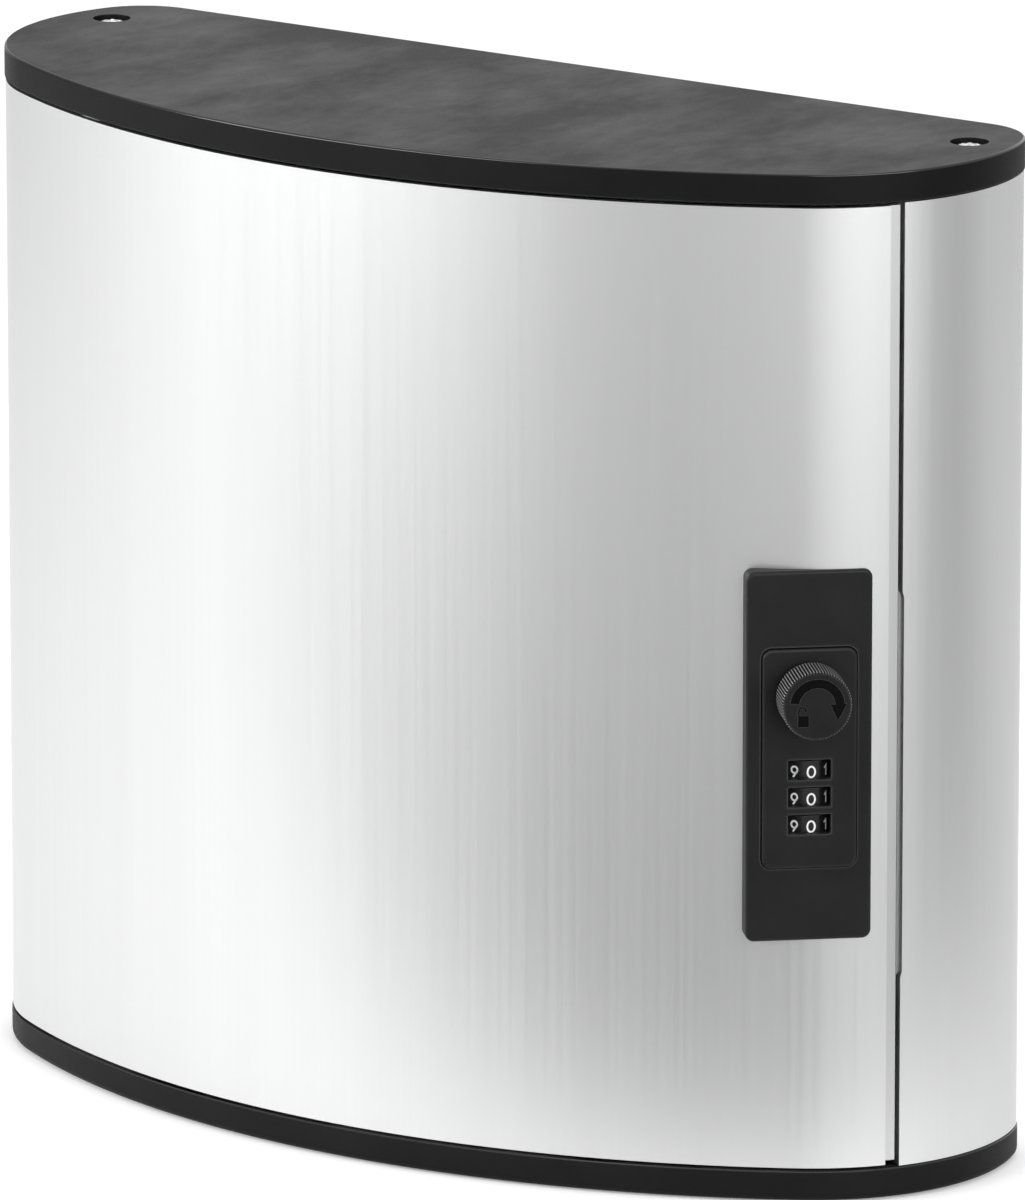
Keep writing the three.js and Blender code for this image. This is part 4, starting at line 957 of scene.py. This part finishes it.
def make_wheel(number):
    spot = Vector(joint(f"wheel_{number}_spin")["pos_m"]) / MM
    matrix = lock_frame(spot) @ Matrix.Rotation(-QUARTER, 4, "X")
    levels = [(6.9, -WHEEL_HALF), (WHEEL_RADIUS, -WHEEL_HALF + 0.4), (WHEEL_RADIUS, 1.75), (7.05, 2.15),
              (7.05, WHEEL_HALF)]
    rings = []
    for radius, z in levels:
        ring = []
        for i in range(WHEEL_FLATS):
            for share in (0.06, 0.94):
                angle = QUARTER - FIGURE_LEAN + 2 * math.pi * (i - 0.5 + share) / WHEEL_FLATS
                from_middle = 2 * math.pi * (share - 0.5) / WHEEL_FLATS
                reach = radius * math.cos(math.pi / WHEEL_FLATS) / math.cos(from_middle)
                ring.append((reach * math.cos(angle), -reach * math.sin(angle), z))
        rings.append(ring[::-1])
    wheel = make_object(f"figure_wheel_{number}", *stack(rings), matrix)
    hub = prism(circle(0, 0, 1.8, 24), -WHEEL_HALF - 1, WHEEL_HALF + 1)
    carve(wheel, [(*hub, matrix)])
    soften(wheel, 0.06, segments=2, sharp=20, bevel_angle=15)
    dress(wheel, f"wheel_{number}", wheel_black, "wheel_plastic", f"number_wheel_{number}")
    flat_reach = WHEEL_RADIUS * math.cos(math.pi / WHEEL_FLATS)
    parts = []
    for value in range(WHEEL_FLATS):
        angle = 2 * math.pi * value / WHEEL_FLATS + FIGURE_LEAN
        across = Vector((math.cos(angle), 0, -math.sin(angle)))
        out = Vector((math.sin(angle), 0, math.cos(angle)))
        for stroke in figure_strokes(value):
            drawn = [Vector((p.x * FIGURE_WIDTH, p.y * FIGURE_HEIGHT)) for p in stroke]
            verts, faces = ribbon(drawn, FIGURE_STROKE / 2, flat_reach - 0.05, flat_reach + 0.03)
            placed = [across * v[0] + Vector((0, v[1] + FIGURE_SHIFT, 0)) + out * v[2] for v in verts]
            parts.append((placed, faces))
    figures = make_object(f"wheel_figures_{number}", *together(*parts), lock_frame(spot))
    soften(figures, 0, sharp=30)
    dress(figures, f"wheel_{number}", figure_white, "wheel_plastic")


# What stays as the CAD made it gets a finished material
def finish_cad_nodes():
    finishes = {
        "hook_rail": rail_grey, "rail_screw": zinc, "lock_screw": zinc, "hinge_pin": zinc,
        "hinge_bush": nylon, "door_buffer": rubber, "lock_back_plate": zinc, "knob_spindle": zinc,
        "latch_cam": zinc, "cam_nut": zinc, "wheel_shaft": zinc, "detent_spring": zinc,
        "code_set_lever": lock_black,
    }
    for name, thing in frame["nodes"].items():
        for start, material in finishes.items():
            if name.startswith(start):
                thing.data.materials.clear()
                thing.data.materials.append(material)


# Floor, world, lights and camera
VIEW_TURN = 0.614672
CAMERA_DIP = 0.240792
CAMERA_SPOT = (2.2553, -3.1681, 1.0972)
CAMERA_LENS = 444.63

# Each zone of the room: its direction in degrees, how wide it is outside and inside, and its strength
ROOM_LEVEL = 0.68
ROOM_ZONES = ((12, 45, 12, 0.2), (-104, 45, 15, 0.35), (214.6, 60, 20, 1.8))

# Distances in metres from the cabinet, towards the camera or to its right, where white turns to grey
FLOOR_HALF = 40.0
FLOOR_DROP = 0.0004
FLOOR_WHITE_TO = 0.095
FLOOR_GREY_FROM = 0.23
FLOOR_RIGHT = (0.165, 0.5)
FLOOR_LEFT = (-0.4, -1.5)
FLOOR_SKEW = 0.07
FLOOR_TONES = ((-0.25, 0.8), (0.26, 0.28), (1.4, 0.6))
FLOOR_WHITE = 0.8
FLOOR_LIFT = 0.25

# Name, direction in degrees from the front, distance, height, size and power
SOFTBOXES = (
    ("left_softbox", -34, 2.0, 0.8, (1.9, 1.3), 35),
    ("right_softbox", 64, 2.2, 0.85, (2.2, 1.5), 32),
)


def math_of(tree, operation, first, second):
    """The product or the larger of a socket and another socket or a number."""
    node = add_node(tree, "ShaderNodeMath", operation=operation)
    tree.links.new(first, node.inputs[0])
    if isinstance(second, float):
        node.inputs[1].default_value = second
    else:
        tree.links.new(second, node.inputs[1])
    return node.outputs[0]


def reach_towards(tree, place, turn):
    """How far a place lies in a direction in plan, given as a turn from the front."""
    dot = add_node(tree, "ShaderNodeVectorMath", operation="DOT_PRODUCT")
    dot.inputs[1].default_value = (math.sin(turn), -math.cos(turn), 0)
    tree.links.new(place, dot.inputs[0])
    return dot.outputs["Value"]


def fade(tree, value, low, high, at_high=None):
    """A smooth step from 0 at low to 1 at high, or from 1 to another level."""
    span = add_node(tree, "ShaderNodeMapRange", interpolation_type="SMOOTHSTEP")
    span.inputs["From Min"].default_value = low
    span.inputs["From Max"].default_value = high
    if at_high is not None:
        span.inputs["To Min"].default_value = 1.0
        span.inputs["To Max"].default_value = at_high
    tree.links.new(value, span.inputs["Value"])
    return span.outputs[0]


def looked_at(tree):
    """1 for camera, glossy and transmission rays, so that metal shows the same background as the picture."""
    path = add_node(tree, "ShaderNodeLightPath")
    seen = path.outputs["Is Camera Ray"]
    for name in ("Is Glossy Ray", "Is Transmission Ray"):
        seen = math_of(tree, "MAXIMUM", seen, path.outputs[name])
    return seen


def floor_greys(tree, ahead):
    """The floor's grey by how far it lies in front."""
    first, last = FLOOR_TONES[0][0], FLOOR_TONES[-1][0]
    span = add_node(tree, "ShaderNodeMapRange")
    span.inputs["From Min"].default_value = first
    span.inputs["From Max"].default_value = last
    tree.links.new(ahead, span.inputs["Value"])
    ramp = add_node(tree, "ShaderNodeValToRGB")
    stops = ramp.color_ramp.elements
    for i, (at, grey) in enumerate(FLOOR_TONES):
        share = (at - first) / (last - first)
        stop = stops[i] if i < 2 else stops.new(share)
        stop.position = share
        stop.color = (grey, grey, grey, 1)
    tree.links.new(span.outputs[0], ramp.inputs["Fac"])
    return ramp.outputs[0]


def make_floor():
    """A plain sweep: white behind and beside the cabinet, soft grey in front of it where its door looks."""
    mesh = bpy.data.meshes.new("floor")
    sides = ((-1, -1), (1, -1), (1, 1), (-1, 1))
    corners = [(x * FLOOR_HALF, y * FLOOR_HALF, -FLOOR_DROP) for x, y in sides]
    mesh.from_pydata(corners, [], [(0, 1, 2, 3)])
    floor = bpy.data.objects.new("floor", mesh)
    bpy.context.scene.collection.objects.link(floor)
    material = bpy.data.materials.new("pale_floor")
    material.use_nodes = True
    tree = material.node_tree
    tree.nodes.clear()
    place = add_node(tree, "ShaderNodeTexCoord").outputs["Object"]
    ahead = reach_towards(tree, place, VIEW_TURN)
    aside = reach_towards(tree, place, VIEW_TURN - FLOOR_SKEW + QUARTER)
    pool = fade(tree, ahead, FLOOR_GREY_FROM, FLOOR_WHITE_TO)
    for white_to, grey_from in (FLOOR_RIGHT, FLOOR_LEFT):
        pool = math_of(tree, "MULTIPLY", pool, fade(tree, aside, grey_from, white_to))
    tone = add_node(tree, "ShaderNodeMix", data_type="RGBA")
    tree.links.new(floor_greys(tree, ahead), tone.inputs[6])
    tone.inputs[7].default_value = (FLOOR_WHITE, FLOOR_WHITE, FLOOR_WHITE, 1)
    tree.links.new(pool, tone.inputs["Factor"])
    diffuse = add_node(tree, "ShaderNodeBsdfDiffuse")
    tree.links.new(tone.outputs[2], diffuse.inputs["Color"])
    glow = add_node(tree, "ShaderNodeEmission")
    lift = math_of(tree, "MULTIPLY", math_of(tree, "MULTIPLY", looked_at(tree), pool), FLOOR_LIFT)
    tree.links.new(lift, glow.inputs["Strength"])
    both = add_node(tree, "ShaderNodeAddShader")
    tree.links.new(diffuse.outputs[0], both.inputs[0])
    tree.links.new(glow.outputs[0], both.inputs[1])
    output = add_node(tree, "ShaderNodeOutputMaterial")
    tree.links.new(both.outputs[0], output.inputs["Surface"])
    mesh.materials.append(material)


def make_world():
    """A plain soft room of one grey, brighter behind the cabinet and dimmer in two directions beside it."""
    world = bpy.data.worlds.new("soft_room")
    bpy.context.scene.world = world
    world.use_nodes = True
    tree = world.node_tree
    tree.nodes.clear()
    place = add_node(tree, "ShaderNodeTexCoord").outputs["Generated"]
    level = None
    for turn, wide, narrow, strength in ROOM_ZONES:
        towards = reach_towards(tree, place, math.radians(turn))
        zone = fade(tree, towards, math.cos(math.radians(wide)), math.cos(math.radians(narrow)), strength)
        level = math_of(tree, "MULTIPLY", level, zone) if level else zone
    room = add_node(tree, "ShaderNodeBackground")
    room.inputs["Strength"].default_value = ROOM_LEVEL
    output = add_node(tree, "ShaderNodeOutputWorld")
    tree.links.new(level, room.inputs["Color"])
    tree.links.new(room.outputs[0], output.inputs["Surface"])


def area_light(name, spot, size, energy):
    data = bpy.data.lights.new(name, "AREA")
    data.shape = "RECTANGLE"
    data.size, data.size_y = size
    data.energy = energy
    light = bpy.data.objects.new(name, data)
    bpy.context.scene.collection.objects.link(light)
    light.location = spot
    target = Vector((0, 0, 0.14))
    light.rotation_euler = (target - Vector(spot)).to_track_quat("-Z", "Y").to_euler()


def make_lights():
    for name, degrees, distance, height, size, energy in SOFTBOXES:
        turn = math.radians(degrees)
        area_light(name, (distance * math.sin(turn), -distance * math.cos(turn), height), size, energy)
    area_light("top_softbox", (-0.2, 0.3, 2.4), (2.0, 2.0), 14)


def make_camera():
    data = bpy.data.cameras.new("camera")
    data.sensor_width = 36
    data.lens = CAMERA_LENS
    data.clip_start, data.clip_end = 0.1, 200
    camera = bpy.data.objects.new("camera", data)
    bpy.context.scene.collection.objects.link(camera)
    camera.location = CAMERA_SPOT
    camera.rotation_euler = (QUARTER - CAMERA_DIP, 0, VIEW_TURN)
    bpy.context.scene.camera = camera


make_door()
make_shell()
make_caps()
screw_seat = CAP_HEIGHT - CAP_FLOOR - SEAT
for height, word, down in ((HEIGHT - screw_seat, "top", False), (screw_seat, "bottom", True)):
    for side, hand in ((-1, "left"), (1, "right")):
        node = f"cap_screw_{word}_{hand}"
        make_cap_screw(f"screw_{word}_{hand}", node, side * CAP_SCREW[0], CAP_SCREW[1], height, down)
make_escutcheon()
make_case()
make_knob()
for wheel_number in (1, 2, 3):
    make_wheel(wheel_number)
finish_cad_nodes()
make_floor()
make_world()
make_lights()
make_camera()
bpy.context.scene.view_settings.view_transform = "Standard"
